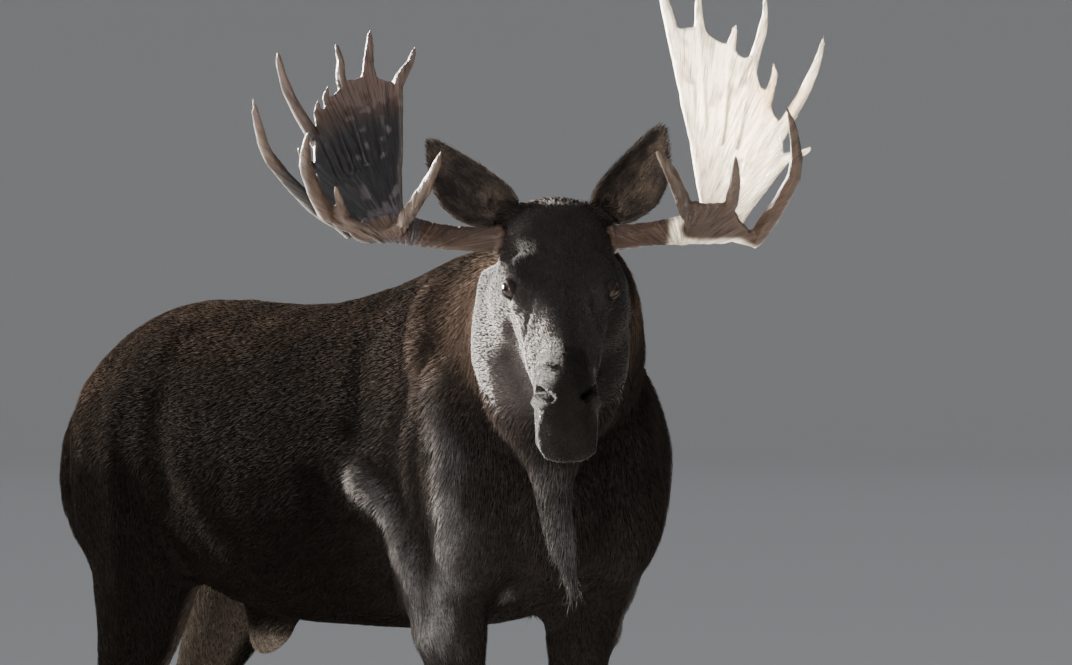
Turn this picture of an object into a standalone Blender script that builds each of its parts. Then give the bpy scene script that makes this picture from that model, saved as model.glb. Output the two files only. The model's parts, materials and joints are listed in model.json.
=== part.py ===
"""A bull moose at rest: standing square, head turned to its right and tipped down.

Metres, +Z up, floor at z = 0. The moose faces -Y and its left side is +X.
The body is lofted in overlapping sections, fused into one surface out to the tips of
the coat, and then parted by thin cuts into the pieces a person would name. Hooves,
dewclaws, eyes and antlers are hard pieces of their own.
"""

import math

import bmesh
import bpy
from mathutils import Matrix, Vector

# ---------------------------------------------------------------- driving sizes

GAP = 0.0003  # left between two pieces that touch
ROOT_GAP = 0.0006  # left around the roots of ears, antlers and dewclaws
BODY_VOXEL = 0.009
BODY_TRIANGLES = 2740
ANTLER_VOXEL = 0.0045
ANTLER_TRIANGLES = 740  # for each antler
EAR_TRIANGLES = 200

HEAD_AT = Vector((-0.320, -1.073, 1.744))  # the middle of the skull between the ears
HEAD_YAW = math.radians(-34.5)  # turned to the moose's right
HEAD_PITCH = math.radians(33)  # nose below the poll
EYE_RADIUS = 0.021
EYE_OUT, EYE_ALONG, EYE_UP = 0.098, 0.232, 0.040  # in the head's own frame

EAR_LENGTH, EAR_HALF_WIDTH, EAR_SKIN = 0.215, 0.060, 0.010
EAR_BOW = 0.021  # how far the middle of the blade hangs outwards and down
CORONET_HEIGHT = 0.078
HOOF_LENGTH, HOOF_HALF_WIDTH = 0.150, 0.027

KNEE_CUT, HOCK_CUT = 0.60, 0.74  # heights where each leg is parted
# The slanting cut between leg and trunk: rise to the side, height at the middle line, and
# where it starts and ends along the body.
FORE_CUT = (0.62, 0.930, -0.78, -0.35)
HIND_CUT = (1.05, 0.985, 0.46, 1.10)
JAW_CUT, MUZZLE_CUT = -0.195, 0.455  # below the skull's middle, and along the face
BELL_CUT = -0.430  # below the poll

HEAD_TURN = Matrix.Translation(HEAD_AT) @ Matrix.Rotation(HEAD_YAW, 4, "Z")
HEAD_FRAME = HEAD_TURN @ Matrix.Rotation(HEAD_PITCH, 4, "X")


# ---------------------------------------------------------------- modelling helpers


def through(rows, steps):
    """The rows with steps - 1 more between each pair, on a Catmull-Rom curve."""
    ends = [rows[0], *rows, rows[-1]]
    made = []
    for before, start, end, after in zip(ends, ends[1:], ends[2:], ends[3:]):
        for step in range(steps):
            t = step / steps
            made.append(
                [
                    0.5 * (2 * b + (c - a) * t + (2 * a - 5 * b + 4 * c - d) * t**2)
                    + 0.5 * (3 * b - a - 3 * c + d) * t**3
                    for a, b, c, d in zip(before, start, end, after)
                ]
            )
    return made + [list(rows[-1])]


def oval(half_width, rise, drop, peak=2.0, keel=2.0, sides=24):
    """(across, up) points of a section. Under 2, peak and keel pinch its top and foot."""
    points = []
    for side in range(sides):
        turn = 2 * math.pi * side / sides
        across, up = math.cos(turn), math.sin(turn)
        power = 2 / (peak if up > 0 else keel)
        width = math.copysign(abs(across) ** power, across) * half_width
        points.append((width, up * (rise if up > 0 else drop)))
    return points


def new_object(name, mesh):
    thing = bpy.data.objects.new(name, mesh)
    bpy.context.scene.collection.objects.link(thing)
    return thing


def loft(name, rings, frame=Matrix.Identity(4)):
    """A closed object through rings of points, in the given frame."""
    shape = bmesh.new()
    loops = [[shape.verts.new(frame @ Vector(p)) for p in ring] for ring in rings]
    for near, far in zip(loops, loops[1:]):
        for side, corner in enumerate(near):
            after = (side + 1) % len(near)
            shape.faces.new((corner, near[after], far[after], far[side]))
    shape.faces.new(loops[0])
    shape.faces.new(loops[-1])
    bmesh.ops.recalc_face_normals(shape, faces=shape.faces)
    mesh = bpy.data.meshes.new(name)
    shape.to_mesh(mesh)
    shape.free()
    return new_object(name, mesh)


def ball(name, centre, radii, frame=Matrix.Identity(4), detail=3):
    """A round mass of muscle, bone or flesh."""
    shape = bmesh.new()
    bmesh.ops.create_icosphere(shape, subdivisions=detail, radius=1)
    place = frame @ Matrix.Translation(centre) @ Matrix.Diagonal((*radii, 1))
    bmesh.ops.transform(shape, matrix=place, verts=shape.verts)
    mesh = bpy.data.meshes.new(name)
    shape.to_mesh(mesh)
    shape.free()
    return new_object(name, mesh)


def box(centre, size, frame=Matrix.Identity(4), grow=0.0):
    """A cutter, grown on every side by grow."""
    shape = bmesh.new()
    scale = [length + 2 * grow for length in size]
    place = frame @ Matrix.Translation(centre) @ Matrix.Diagonal((*scale, 1))
    bmesh.ops.create_cube(shape, size=1, matrix=place)
    mesh = bpy.data.meshes.new("cutter")
    shape.to_mesh(mesh)
    shape.free()
    cutter = new_object("cutter", mesh)
    cutter.hide_render = True
    cutter.display_type = "WIRE"
    return cutter


def tube(name, path, frame=Matrix.Identity(4), sides=10, flat=1.0):
    """A round bar through (x, y, z, radius) rows; flat thins it along its section's up."""
    points = [Vector(row[:3]) for row in path]
    rings = []
    for index, (point, row) in enumerate(zip(points, path)):
        ahead = points[min(index + 1, len(points) - 1)] - points[max(index - 1, 0)]
        side = ahead.cross(Vector((0, 1, 0.01))).normalized()
        up = side.cross(ahead).normalized()
        section = oval(row[3], row[3] * flat, row[3] * flat, sides=sides)
        rings.append([point + side * across + up * high for across, high in section])
    return loft(name, rings, frame)


def apply_modifiers(thing):
    bpy.context.view_layer.update()
    graph = bpy.context.evaluated_depsgraph_get()
    mesh = bpy.data.meshes.new_from_object(thing.evaluated_get(graph))
    thing.modifiers.clear()
    thing.data = mesh


def joined(name, things):
    """The objects' meshes in one object, still overlapping."""
    shape = bmesh.new()
    for thing in things:
        shape.from_mesh(thing.data)
        bpy.data.objects.remove(thing)
    mesh = bpy.data.meshes.new(name)
    shape.to_mesh(mesh)
    shape.free()
    return new_object(name, mesh)


def fused(name, things, voxel, rounds, triangles):
    """Overlapping shapes as one smooth surface of about that many triangles."""
    whole = joined(name, things)
    remesh = whole.modifiers.new("one_surface", "REMESH")
    remesh.mode = "VOXEL"
    remesh.voxel_size = voxel
    soften = whole.modifiers.new("soften", "SMOOTH")
    soften.factor, soften.iterations = 0.5, rounds
    apply_modifiers(whole)
    whole.data.calc_loop_triangles()
    fewer = whole.modifiers.new("fewer", "DECIMATE")
    fewer.ratio = triangles / len(whole.data.loop_triangles)
    fewer.use_collapse_triangulate = True
    apply_modifiers(whole)
    return whole


def boolean(thing, cutter, operation):
    step = thing.modifiers.new(operation.lower(), "BOOLEAN")
    step.object, step.operation = cutter, operation
    apply_modifiers(thing)


def wedge(side, rise, height, start, end, grow=0.0):
    """A cutter for what lies to one side, under a plane that rises outwards."""
    inner, outer, floor = 0.001 * side, 0.5 * side, 0.0
    lift = grow * math.hypot(1, rise)
    corners = [
        (inner - grow * side, floor),
        (inner - grow * side, height + lift),
        (outer, height + rise * abs(outer) + lift),
        (outer, floor),
    ]
    rings = [[(x, y, z) for x, z in corners] for y in (start - grow, end + grow)]
    cutter = loft("cutter", rings)
    cutter.hide_render = True
    cutter.display_type = "WIRE"
    return cutter


def part_off(rest, name, make_cutter, *sizes):
    """Takes what lies in a cutter from rest into a new piece, and leaves the gap."""
    piece = new_object(name, rest.data.copy())
    inside = make_cutter(*sizes)
    boolean(piece, inside, "INTERSECT")
    outside = make_cutter(*sizes, grow=GAP)
    boolean(rest, outside, "DIFFERENCE")
    bpy.data.objects.remove(inside)
    bpy.data.objects.remove(outside)
    return piece


def make_room(thing, neighbour):
    """Cuts the neighbour's shape out of thing, and leaves the gap."""
    cutter = new_object("cutter", neighbour.data.copy())
    normals = [vertex.normal.copy() for vertex in cutter.data.vertices]
    for vertex, normal in zip(cutter.data.vertices, normals):
        vertex.co += normal * ROOT_GAP
    cutter.hide_render = True
    cutter.display_type = "WIRE"
    boolean(thing, cutter, "DIFFERENCE")
    bpy.data.objects.remove(cutter)


# ---------------------------------------------------------------- trunk, neck and tail

# Upright sections: along Y, height of the widest line, half width, rise to the back,
# drop to the belly, and how full the back's curve is (2 is a plain oval).
TRUNK = (
    (-0.840, 1.30, 0.085, 0.09, 0.10, 2.0),
    (-0.780, 1.31, 0.185, 0.22, 0.21, 2.0),
    (-0.670, 1.32, 0.247, 0.33, 0.30, 1.9),
    (-0.525, 1.32, 0.275, 0.42, 0.36, 1.7),
    (-0.380, 1.31, 0.285, 0.43, 0.375, 1.6),
    (-0.200, 1.29, 0.296, 0.395, 0.365, 1.7),
    (0.045, 1.27, 0.308, 0.365, 0.345, 1.9),
    (0.270, 1.28, 0.304, 0.345, 0.345, 2.0),
    (0.470, 1.31, 0.290, 0.325, 0.315, 2.0),
    (0.650, 1.33, 0.268, 0.297, 0.270, 1.9),
    (0.800, 1.33, 0.232, 0.240, 0.225, 1.9),
    (0.905, 1.31, 0.170, 0.160, 0.170, 2.0),
    (0.955, 1.29, 0.080, 0.070, 0.080, 2.0),
)

# Upright sections turned about Z: middle, turn to the right in degrees, half width,
# rise and drop.
NECK = (
    (0.000, -0.390, 1.42, 0, 0.180, 0.31, 0.30),
    (-0.013, -0.547, 1.44, 9, 0.213, 0.31, 0.28),
    (-0.061, -0.717, 1.50, 20, 0.202, 0.255, 0.26),
    (-0.154, -0.864, 1.57, 28, 0.180, 0.205, 0.235),
    (-0.235, -0.983, 1.62, 32, 0.157, 0.170, 0.215),
    (-0.308, -1.084, 1.66, 33, 0.125, 0.115, 0.165),
)


def make_trunk():
    rings = [
        [(across, y, z + up) for across, up in oval(width, rise, drop, peak, 2.2)]
        for y, z, width, rise, drop, peak in through(TRUNK, 3)
    ]
    return loft("trunk", rings)


def make_neck():
    rings = []
    for x, y, z, turn, width, rise, drop in through(NECK, 3):
        place = Matrix.Translation((x, y, z)) @ Matrix.Rotation(-math.radians(turn), 4, "Z")
        section = oval(width, rise, drop, 1.9, 1.8)
        rings.append([place @ Vector((across, 0, up)) for across, up in section])
    return loft("neck", rings)


def make_muscles():
    """Masses that stand out under the coat, on both sides."""
    made = []
    for side in (-1, 1):
        made.append(ball("shoulder", (0.175 * side, -0.580, 1.28), (0.128, 0.19, 0.28)))
        made.append(ball("arm", (0.195 * side, -0.505, 1.10), (0.088, 0.14, 0.17)))
        made.append(ball("haunch", (0.150 * side, 0.670, 1.25), (0.126, 0.25, 0.28)))
        made.append(ball("breast", (0.080 * side, -0.765, 1.20), (0.11, 0.085, 0.16)))
    return made


def make_tail():
    path = through(
        ((0, 0.87, 1.450, 0.038), (0, 0.955, 1.430, 0.034), (0, 0.995, 1.380, 0.030),
         (0, 1.005, 1.320, 0.020)), 3
    )
    return tube("tail", path)


def make_sheath():
    rings = [
        [(across, y + 0.35 * (0.95 - z) + deep, z) for across, deep in oval(width, depth, depth)]
        for z, y, width, depth in through(
            ((1.00, 0.36, 0.06, 0.14), (0.93, 0.36, 0.05, 0.080), (0.875, 0.365, 0.034, 0.043),
             (0.852, 0.365, 0.012, 0.016)),
            3,
        )
    ]
    return loft("sheath", rings)


# ---------------------------------------------------------------- legs

# Level sections: height, distance behind the foot, half width, depth ahead and behind,
# and distance towards the body's middle line.
FORE_LEG = (
    (1.300, -0.020, 0.080, 0.130, 0.140, -0.010),
    (1.120, 0.000, 0.090, 0.125, 0.125, -0.012),
    (1.000, 0.000, 0.082, 0.105, 0.098, -0.010),
    (0.880, -0.006, 0.066, 0.086, 0.072, -0.004),
    (0.740, -0.004, 0.054, 0.064, 0.060, 0.0),
    (0.620, -0.004, 0.047, 0.052, 0.052, 0.0),
    (0.530, -0.010, 0.050, 0.054, 0.052, 0.0),
    (0.450, -0.002, 0.043, 0.044, 0.046, 0.0),
    (0.360, 0.000, 0.034, 0.036, 0.040, 0.0),
    (0.240, 0.000, 0.034, 0.036, 0.042, 0.0),
    (0.170, 0.000, 0.043, 0.044, 0.052, 0.0),
    (0.120, -0.018, 0.039, 0.042, 0.046, 0.0),
    (0.040, -0.045, 0.047, 0.056, 0.050, 0.0),
)
HIND_LEG = (
    (1.360, -0.170, 0.095, 0.190, 0.200, -0.020),
    (1.200, -0.190, 0.105, 0.215, 0.215, -0.010),
    (1.070, -0.195, 0.097, 0.190, 0.190, 0.0),
    (0.950, -0.175, 0.086, 0.145, 0.150, 0.0),
    (0.840, -0.138, 0.073, 0.106, 0.114, 0.0),
    (0.740, -0.070, 0.056, 0.080, 0.086, 0.0),
    (0.660, -0.005, 0.046, 0.062, 0.070, 0.0),
    (0.580, 0.022, 0.042, 0.052, 0.052, 0.0),
    (0.480, 0.018, 0.035, 0.039, 0.041, 0.0),
    (0.280, 0.004, 0.034, 0.037, 0.041, 0.0),
    (0.170, 0.000, 0.043, 0.045, 0.052, 0.0),
    (0.120, -0.018, 0.039, 0.042, 0.046, 0.0),
    (0.040, -0.045, 0.047, 0.056, 0.050, 0.0),
)

# name, sections, foot's place in X and Y
LEGS = (
    ("front_left", FORE_LEG, 0.172, -0.470),
    ("front_right", FORE_LEG, -0.170, -0.530),
    ("hind_left", HIND_LEG, 0.155, 1.050),
    ("hind_right", HIND_LEG, -0.165, 0.780),
)
STEP_ABOVE = 1.25  # a foot's step back or forward fades out up to this height
STEP_FROM = {FORE_LEG: -0.507, HIND_LEG: 0.815}  # where the upper leg sits along Y


def make_leg(name, sections, foot_x, foot_y):
    rings = []
    side = math.copysign(1, foot_x)
    for z, behind, width, front, back, inward in through(sections, 2):
        step = (foot_y - STEP_FROM[sections]) * max(0.0, 1 - (z / STEP_ABOVE) ** 2)
        y = STEP_FROM[sections] + step + behind
        ring = oval(width, back, front)
        rings.append([(foot_x - side * inward + across, y + deep, z) for across, deep in ring])
    return loft(name, rings)


def hoof_outline(half_width, length, lean):
    """(across, along) points of one toe's print: straight inside, bowed outside, pointed."""
    points = []
    for turn in range(10):
        angle = 2 * math.pi * turn / 10
        across, along = math.sin(angle), math.cos(angle)
        narrow = 1 - 0.55 * max(0.0, along) ** 2
        bow = half_width * (0.72 if across < 0 else 1.15)
        points.append((across * bow * narrow - lean * along, along * length / 2))
    return points


# Height, share of the full print, and distance back from the toe's tip.
HOOF_RINGS = (
    (0.000, 1.00, 0.000),
    (0.016, 0.99, 0.001),
    (0.045, 0.86, 0.011),
    (CORONET_HEIGHT - GAP, 0.66, 0.026),
)


def make_hoof(name, foot_x, foot_y, toe, splay):
    """One toe of a cloven hoof, flat under, with its top where the coat ends."""
    rings = []
    for z, share, back in HOOF_RINGS:
        half_width = HOOF_HALF_WIDTH * (0.4 + 0.6 * share)
        outline = hoof_outline(half_width, HOOF_LENGTH * share, -0.004)
        rings.append([(toe * across, -along + back, z) for across, along in outline])
    middle = toe * (HOOF_HALF_WIDTH * 0.72 + 0.0035)
    turned = Matrix.Rotation(toe * splay, 4, "Z")
    place = Matrix.Translation((foot_x + middle, foot_y - 0.062, 0)) @ turned
    return loft(name, rings, place)


def make_dewclaw(name, foot_x, foot_y, toe):
    path = through(
        ((0, 0.020, 0.128, 0.014), (0, 0.052, 0.108, 0.017), (0, 0.066, 0.080, 0.013),
         (0, 0.068, 0.062, 0.005)),
        1,
    )
    return tube(name, path, Matrix.Translation((foot_x + toe * 0.026, foot_y, 0)), sides=6)


# ---------------------------------------------------------------- head

# Sections across the face: distance from the poll, height of the widest line, half
# width, rise, drop, fullness of the forehead or bridge, fullness of the jaw.
SKULL = (
    (-0.080, -0.015, 0.095, 0.085, 0.120, 2.2, 2.0),
    (-0.020, -0.010, 0.112, 0.108, 0.140, 2.4, 2.0),
    (0.050, -0.010, 0.116, 0.118, 0.160, 2.5, 2.0),
    (0.130, -0.020, 0.117, 0.120, 0.164, 2.4, 2.0),
    (0.220, -0.020, 0.108, 0.098, 0.162, 2.3, 2.0),
    (0.310, -0.022, 0.088, 0.082, 0.146, 2.1, 1.9),
    (0.390, -0.025, 0.073, 0.077, 0.124, 2.0, 1.9),
    (0.460, -0.028, 0.064, 0.082, 0.102, 2.1, 2.0),
    (0.530, -0.032, 0.063, 0.088, 0.086, 2.3, 2.3),
    (0.590, -0.038, 0.065, 0.084, 0.064, 2.5, 2.6),
    (0.635, -0.048, 0.059, 0.066, 0.052, 2.5, 2.7),
    (0.662, -0.058, 0.041, 0.040, 0.034, 2.3, 2.4),
)

# name, (out, along, up) of the middle, half sizes in the same order
FACE_MASSES = (
    ("cheek", (0.078, 0.130, -0.065), (0.066, 0.130, 0.090)),
    ("brow", (0.078, 0.200, 0.040), (0.038, 0.085, 0.044)),
    ("nostril", (0.040, 0.560, -0.008), (0.028, 0.052, 0.042)),
    ("lip", (0.028, 0.592, -0.066), (0.037, 0.056, 0.036)),
    ("chin", (0.012, 0.525, -0.096), (0.030, 0.060, 0.026)),
)


def face_point(out, along, up):
    """A point given in the head's own terms, in the head's frame."""
    return Vector((out, -along, up))


def make_head():
    rings = []
    for along, up, width, rise, drop, peak, keel in through(SKULL, 2):
        section = oval(width, rise, drop, peak, keel)
        rings.append([face_point(across, along, up + high) for across, high in section])
    made = [loft("skull", rings, HEAD_FRAME)]
    for name, (out, along, up), (wide, long, high) in FACE_MASSES:
        for side in (-1, 1):
            centre = face_point(side * out, along, up)
            made.append(ball(name, centre, (wide, long, high), HEAD_FRAME))
    return made


# Level sections of the throat and of the flap of skin and hair under it: height against
# the poll, distance ahead of it, half width and half depth.
BELL = (
    (-0.050, -0.030, 0.140, 0.115),
    (-0.170, 0.015, 0.164, 0.130),
    (-0.250, 0.045, 0.164, 0.125),
    (-0.330, 0.070, 0.140, 0.115),
    (-0.390, 0.082, 0.100, 0.098),
    (-0.445, 0.090, 0.060, 0.076),
    (-0.500, 0.094, 0.040, 0.056),
    (-0.570, 0.092, 0.033, 0.042),
    (-0.630, 0.090, 0.024, 0.030),
    (-0.680, 0.088, 0.015, 0.018),
    (-0.715, 0.086, 0.008, 0.009),
)
BELL_OUT = -0.012
BELL_SWAY, SWAY_FROM, SWAY_OVER = 0.055, -0.440, 0.275  # the tip swings to the animal's left


def make_bell():
    rings = []
    for height, ahead, width, depth in through(BELL, 2):
        ring = oval(width, depth, depth, sides=20)
        swing = BELL_OUT + BELL_SWAY * (max(0, SWAY_FROM - height) / SWAY_OVER) ** 2
        rings.append([(swing + across, -ahead - deep, height) for across, deep in ring])
    return loft("bell", rings, HEAD_TURN)


def make_ear(name, side, tip_out, tip_back, tip_up):
    """A cupped, leaf-shaped shell that opens forwards, on a short round base."""
    rows, across_steps = 12, 10
    root = HEAD_FRAME @ face_point(side * 0.100, -0.040, 0.046)
    along = (HEAD_TURN.to_3x3() @ Vector((side * tip_out, tip_back, tip_up))).normalized()
    ahead = HEAD_TURN.to_3x3() @ Vector((side * 0.25, -1, 0.15))
    wide = along.cross(ahead).normalized()
    ahead = wide.cross(along).normalized()
    shape = bmesh.new()
    grid = []
    for row in range(rows + 1):
        v = row / rows
        width = EAR_HALF_WIDTH * math.sin(math.pi * (0.12 + 0.86 * v) ** 0.80) ** 0.75
        cup = 0.040 * math.sin(math.pi * min(1, 0.25 + v * 0.75)) + 0.010
        line = []
        for column in range(across_steps + 1):
            u = 2 * column / across_steps - 1
            deep = -cup * (1 - u * u) + 0.018 * v * v
            across = width * u + side * EAR_BOW * math.sin(math.pi * v)
            place = root + along * (EAR_LENGTH * v) + wide * across + ahead * deep
            line.append(shape.verts.new(place))
        grid.append(line)
    for low, high in zip(grid, grid[1:]):
        for column in range(across_steps):
            shape.faces.new((low[column], low[column + 1], high[column + 1], high[column]))
    mesh = bpy.data.meshes.new(name)
    shape.to_mesh(mesh)
    shape.free()
    shell = new_object("ear_shell", mesh)
    thicken = shell.modifiers.new("skin", "SOLIDIFY")
    thicken.thickness, thicken.offset = EAR_SKIN, 0
    apply_modifiers(shell)
    base = []
    for v, radius in ((-0.30, 0.028), (-0.05, 0.032), (0.12, 0.028), (0.26, 0.014)):
        base.append((*(root + along * (EAR_LENGTH * v) - ahead * 0.050), radius))
    stalk = tube("ear_base", through(base, 2), sides=12)
    return fused(name, [shell, stalk], 0.0035, 3, EAR_TRIANGLES)


# ---------------------------------------------------------------- antlers

# Each tine is a finger of a fan. Out and up are measured from the poll, square to the
# turned head, and forward along its gaze. root: where the finger leaves the beam; base:
# where it leaves the web; tip; bow: how far its middle swings out; girth at the base.
#        root out, up    base out, up    tip out, up    forward  bow    girth
LEFT_PALM = (
    ((0.302, 0.040), (0.236, 0.450), (0.212, 0.556), -0.06, 0.000, 0.0135),
    ((0.310, 0.040), (0.296, 0.455), (0.294, 0.528), -0.04, 0.000, 0.0115),
    ((0.320, 0.038), (0.362, 0.408), (0.374, 0.458), -0.02, 0.000, 0.0105),
    ((0.332, 0.036), (0.408, 0.382), (0.432, 0.526), -0.05, 0.010, 0.0125),
    ((0.344, 0.032), (0.436, 0.292), (0.447, 0.385), -0.03, 0.006, 0.0110),
    ((0.354, 0.026), (0.468, 0.240), (0.552, 0.434), -0.03, 0.012, 0.0140),
    ((0.362, 0.018), (0.466, 0.172), (0.527, 0.202), 0.02, 0.004, 0.0120),
)
LEFT_BROW = (
    ((0.262, 0.022), (0.254, 0.090), (0.198, 0.186), 0.15, 0.006, 0.0175),
    ((0.306, 0.016), (0.356, 0.084), (0.358, 0.182), 0.12, 0.004, 0.0150),
    ((0.330, 0.002), (0.408, 0.014), (0.460, 0.278), 0.16, 0.048, 0.0195),
)
RIGHT_PALM = (
    ((0.309, 0.034), (0.322, 0.330), (0.287, 0.410), -0.06, -0.004, 0.0130),
    ((0.328, 0.034), (0.384, 0.356), (0.382, 0.451), -0.05, 0.000, 0.0130),
    ((0.346, 0.032), (0.440, 0.334), (0.456, 0.420), -0.04, -0.006, 0.0115),
    ((0.364, 0.030), (0.470, 0.294), (0.467, 0.330), -0.02, 0.000, 0.0095),
    ((0.382, 0.028), (0.488, 0.256), (0.487, 0.300), -0.01, 0.000, 0.0095),
    ((0.396, 0.024), (0.498, 0.222), (0.569, 0.404), 0.04, 0.014, 0.0150),
    ((0.408, 0.018), (0.494, 0.152), (0.530, 0.204), 0.03, 0.002, 0.0105),
    ((0.418, 0.006), (0.486, 0.070), (0.610, 0.302), 0.06, 0.034, 0.0170),
)
RIGHT_BROW = (
    ((0.312, 0.006), (0.304, 0.050), (0.229, 0.186), 0.15, -0.008, 0.0175),
    ((0.372, 0.002), (0.428, 0.056), (0.445, 0.122), 0.07, 0.000, 0.0120),
    ((0.396, 0.000), (0.466, 0.066), (0.494, 0.226), 0.14, 0.020, 0.0190),
)
PALM_LEAN = 0.66  # metres back for each metre up
PALM_SWING = 0.045  # both fans swing this far to the left for each metre back
PALM_CUP = 0.045  # how far the palm's middle lies behind its edges
PALM_FORWARD, BROW_FORWARD = 0.035, 0.045  # where the fans leave the beam
BROW_LEAN = -1.15  # the brow fan runs forwards as it rises
BROW_CUT = 0.062  # how far ahead of the poll the brow fan is parted off
WEB_HALF_THICKNESS = 0.0055


def antler_point(side, out, forward, up):
    return Vector((side * out, -forward, up))


def fan_point(side, flat, root, forward, lean, cup):
    """A place on a fan: flat is (out, up, share), where share is how far across it lies."""
    out, up, share = flat
    hollow = cup * (1 - (2 * share - 1) ** 2) * min(1, max(0, (up - root) / 0.15))
    ahead = forward - lean * (up - root) - hollow
    return antler_point(side, out - side * PALM_SWING * ahead, ahead, up)


def make_fan(name, side, fingers, forward, lean, cup, valley):
    """The web and the tines of one fan of an antler, as overlapping closed shapes."""
    steps, root = 10, min(finger[0][1] for finger in fingers)
    columns = []
    for index, (near, far) in enumerate(zip(fingers, fingers[1:])):
        for step in range(6):
            t = step / 6
            dip = valley * math.sin(math.pi * t)
            start = Vector(near[0]).lerp(Vector(far[0]), t)
            end = Vector(near[1]).lerp(Vector(far[1]), t)
            columns.append((start, end.lerp(start, dip), (index + t) / (len(fingers) - 1)))
    columns.append((Vector(fingers[-1][0]), Vector(fingers[-1][1]), 1.0))
    web = bmesh.new()
    grid = []
    for start, end, share in columns:
        line = []
        for step in range(steps + 1):
            flat = (*start.lerp(end, step / steps), share)
            line.append(web.verts.new(fan_point(side, flat, root, forward, lean, cup)))
        grid.append(line)
    for near, far in zip(grid, grid[1:]):
        for step in range(steps):
            web.faces.new((near[step], near[step + 1], far[step + 1], far[step]))
    mesh = bpy.data.meshes.new(name)
    web.to_mesh(mesh)
    web.free()
    sheet = new_object("web", mesh)
    thicken = sheet.modifiers.new("bone", "SOLIDIFY")
    thicken.thickness, thicken.offset = 2 * WEB_HALF_THICKNESS, 0
    apply_modifiers(sheet)
    made = [sheet]
    for index, (start, base, tip, reach, bow, girth) in enumerate(fingers):
        share = index / (len(fingers) - 1)
        low = fan_point(side, (*start, share), root, forward, lean, cup)
        foot = fan_point(side, (*base, share), root, forward, lean, cup)
        ahead = -foot.y + reach
        end = antler_point(side, tip[0] - side * PALM_SWING * ahead, ahead, tip[1])
        chord = Vector((tip[0] - base[0], tip[1] - base[1])).normalized()
        swing = antler_point(side, chord.y * bow, 0, -chord.x * bow)
        path = (
            (*low.lerp(foot, 0.45), girth * 0.40),
            (*low.lerp(foot, 0.78), girth * 0.62),
            (*foot, girth * 0.92),
            (*(foot.lerp(end, 0.5) + swing), girth * 0.74),
            (*(foot.lerp(end, 0.85) + swing * 0.5), girth * 0.46),
            (*end, girth * 0.20),
        )
        made.append(tube("tine", through(path, 3)))
    return made


def make_antler(name, side, palm, brow, reach, brow_valley):
    """One antler, fused and then parted at its forks."""
    beam = (
        (side * 0.060, 0.000, -0.004, 0.028),
        (side * 0.098, 0.004, 0.008, 0.031),
        (side * 0.116, 0.002, 0.010, 0.026),
        (side * (0.116 + reach) / 2, -0.010, 0.020 if side > 0 else 0.012, 0.0245),
        (side * reach, -0.040, 0.030, 0.031),
        (side * (reach + 0.070), -0.045, 0.026, 0.026),
    )
    burr = tube(
        "burr",
        ((side * 0.100, 0.004, 0.008, 0.030), (side * 0.108, 0.004, 0.009, 0.040),
         (side * 0.118, 0.003, 0.010, 0.030)),
        HEAD_TURN,
        sides=16,
    )
    pieces = [tube("beam", through(beam, 4), HEAD_TURN, sides=12), burr]
    shapes = make_fan("palm", side, palm, PALM_FORWARD, PALM_LEAN, PALM_CUP, 0.03)
    shapes += make_fan("brow", side, brow, BROW_FORWARD, BROW_LEAN, 0.01, brow_valley)
    for shape in shapes:
        shape.data.transform(HEAD_TURN)
        pieces.append(shape)
    rest = fused(f"{name}_palm", pieces, ANTLER_VOXEL, 4, ANTLER_TRIANGLES)
    beam_end = reach - 0.045
    bar = (side * beam_end / 2, 0, 0), (beam_end, 0.2, 0.14)
    root = part_off(rest, f"{name}_beam", box, *bar, HEAD_TURN)
    part_off(rest, f"{name}_brow", box, (0, -1 - BROW_CUT, 0), (2, 2, 2), HEAD_TURN)
    return root


# ---------------------------------------------------------------- colours and place

# The start of a piece's name, its colour and its roughness. The first that fits counts.
COLOURS = (
    ("muzzle", (0.022, 0.017, 0.014), 0.75),
    ("sheath", (0.110, 0.080, 0.060), 0.85),
    ("ear", (0.050, 0.036, 0.027), 0.85),
    ("eye", (0.006, 0.004, 0.003), 0.08),
    ("antler_left_palm", (0.640, 0.580, 0.480), 0.60),
    ("antler_right_palm", (0.075, 0.062, 0.062), 0.65),
    ("antler", (0.120, 0.075, 0.045), 0.60),
    ("hoof", (0.014, 0.012, 0.010), 0.50),
    ("dewclaw", (0.014, 0.012, 0.010), 0.50),
    ("leg", (0.034, 0.025, 0.019), 0.85),
    ("", (0.028, 0.020, 0.015), 0.85),
)


def dress(thing):
    """Colours one piece, and shades its round faces smooth."""
    colour, roughness = next(rest for start, *rest in COLOURS if thing.name.startswith(start))
    material = bpy.data.materials.new(thing.name)
    material.use_nodes = True
    surface = material.node_tree.nodes["Principled BSDF"]
    surface.inputs["Base Color"].default_value = (*colour, 1)
    surface.inputs["Roughness"].default_value = roughness
    thing.data.materials.clear()
    thing.data.materials.append(material)
    thing.data.shade_smooth()
    thing.data.set_sharp_from_angle(angle=math.radians(45))


def stand_on_origin(things):
    """Moves everything so that the middle of the whole stands over the origin."""
    corners = [Vector(corner) for thing in things for corner in thing.bound_box]
    for axis in (0, 1):
        places = [corner[axis] for corner in corners]
        middle = (min(places) + max(places)) / 2
        for thing in things:
            thing.location[axis] -= middle


# ---------------------------------------------------------------- the moose


NECK_BASE, NECK_SLOPE = (0, -0.65, 1.48), math.radians(-24)  # where the neck leaves the trunk
TAIL_BOX = (0, 1.04, 1.38), (0.09, 0.2, 0.20)  # middle and size of the box that holds the tail
SHEATH_BOX = (0, 0.36, 0.60), (0.13, 0.4, 0.62)


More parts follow.
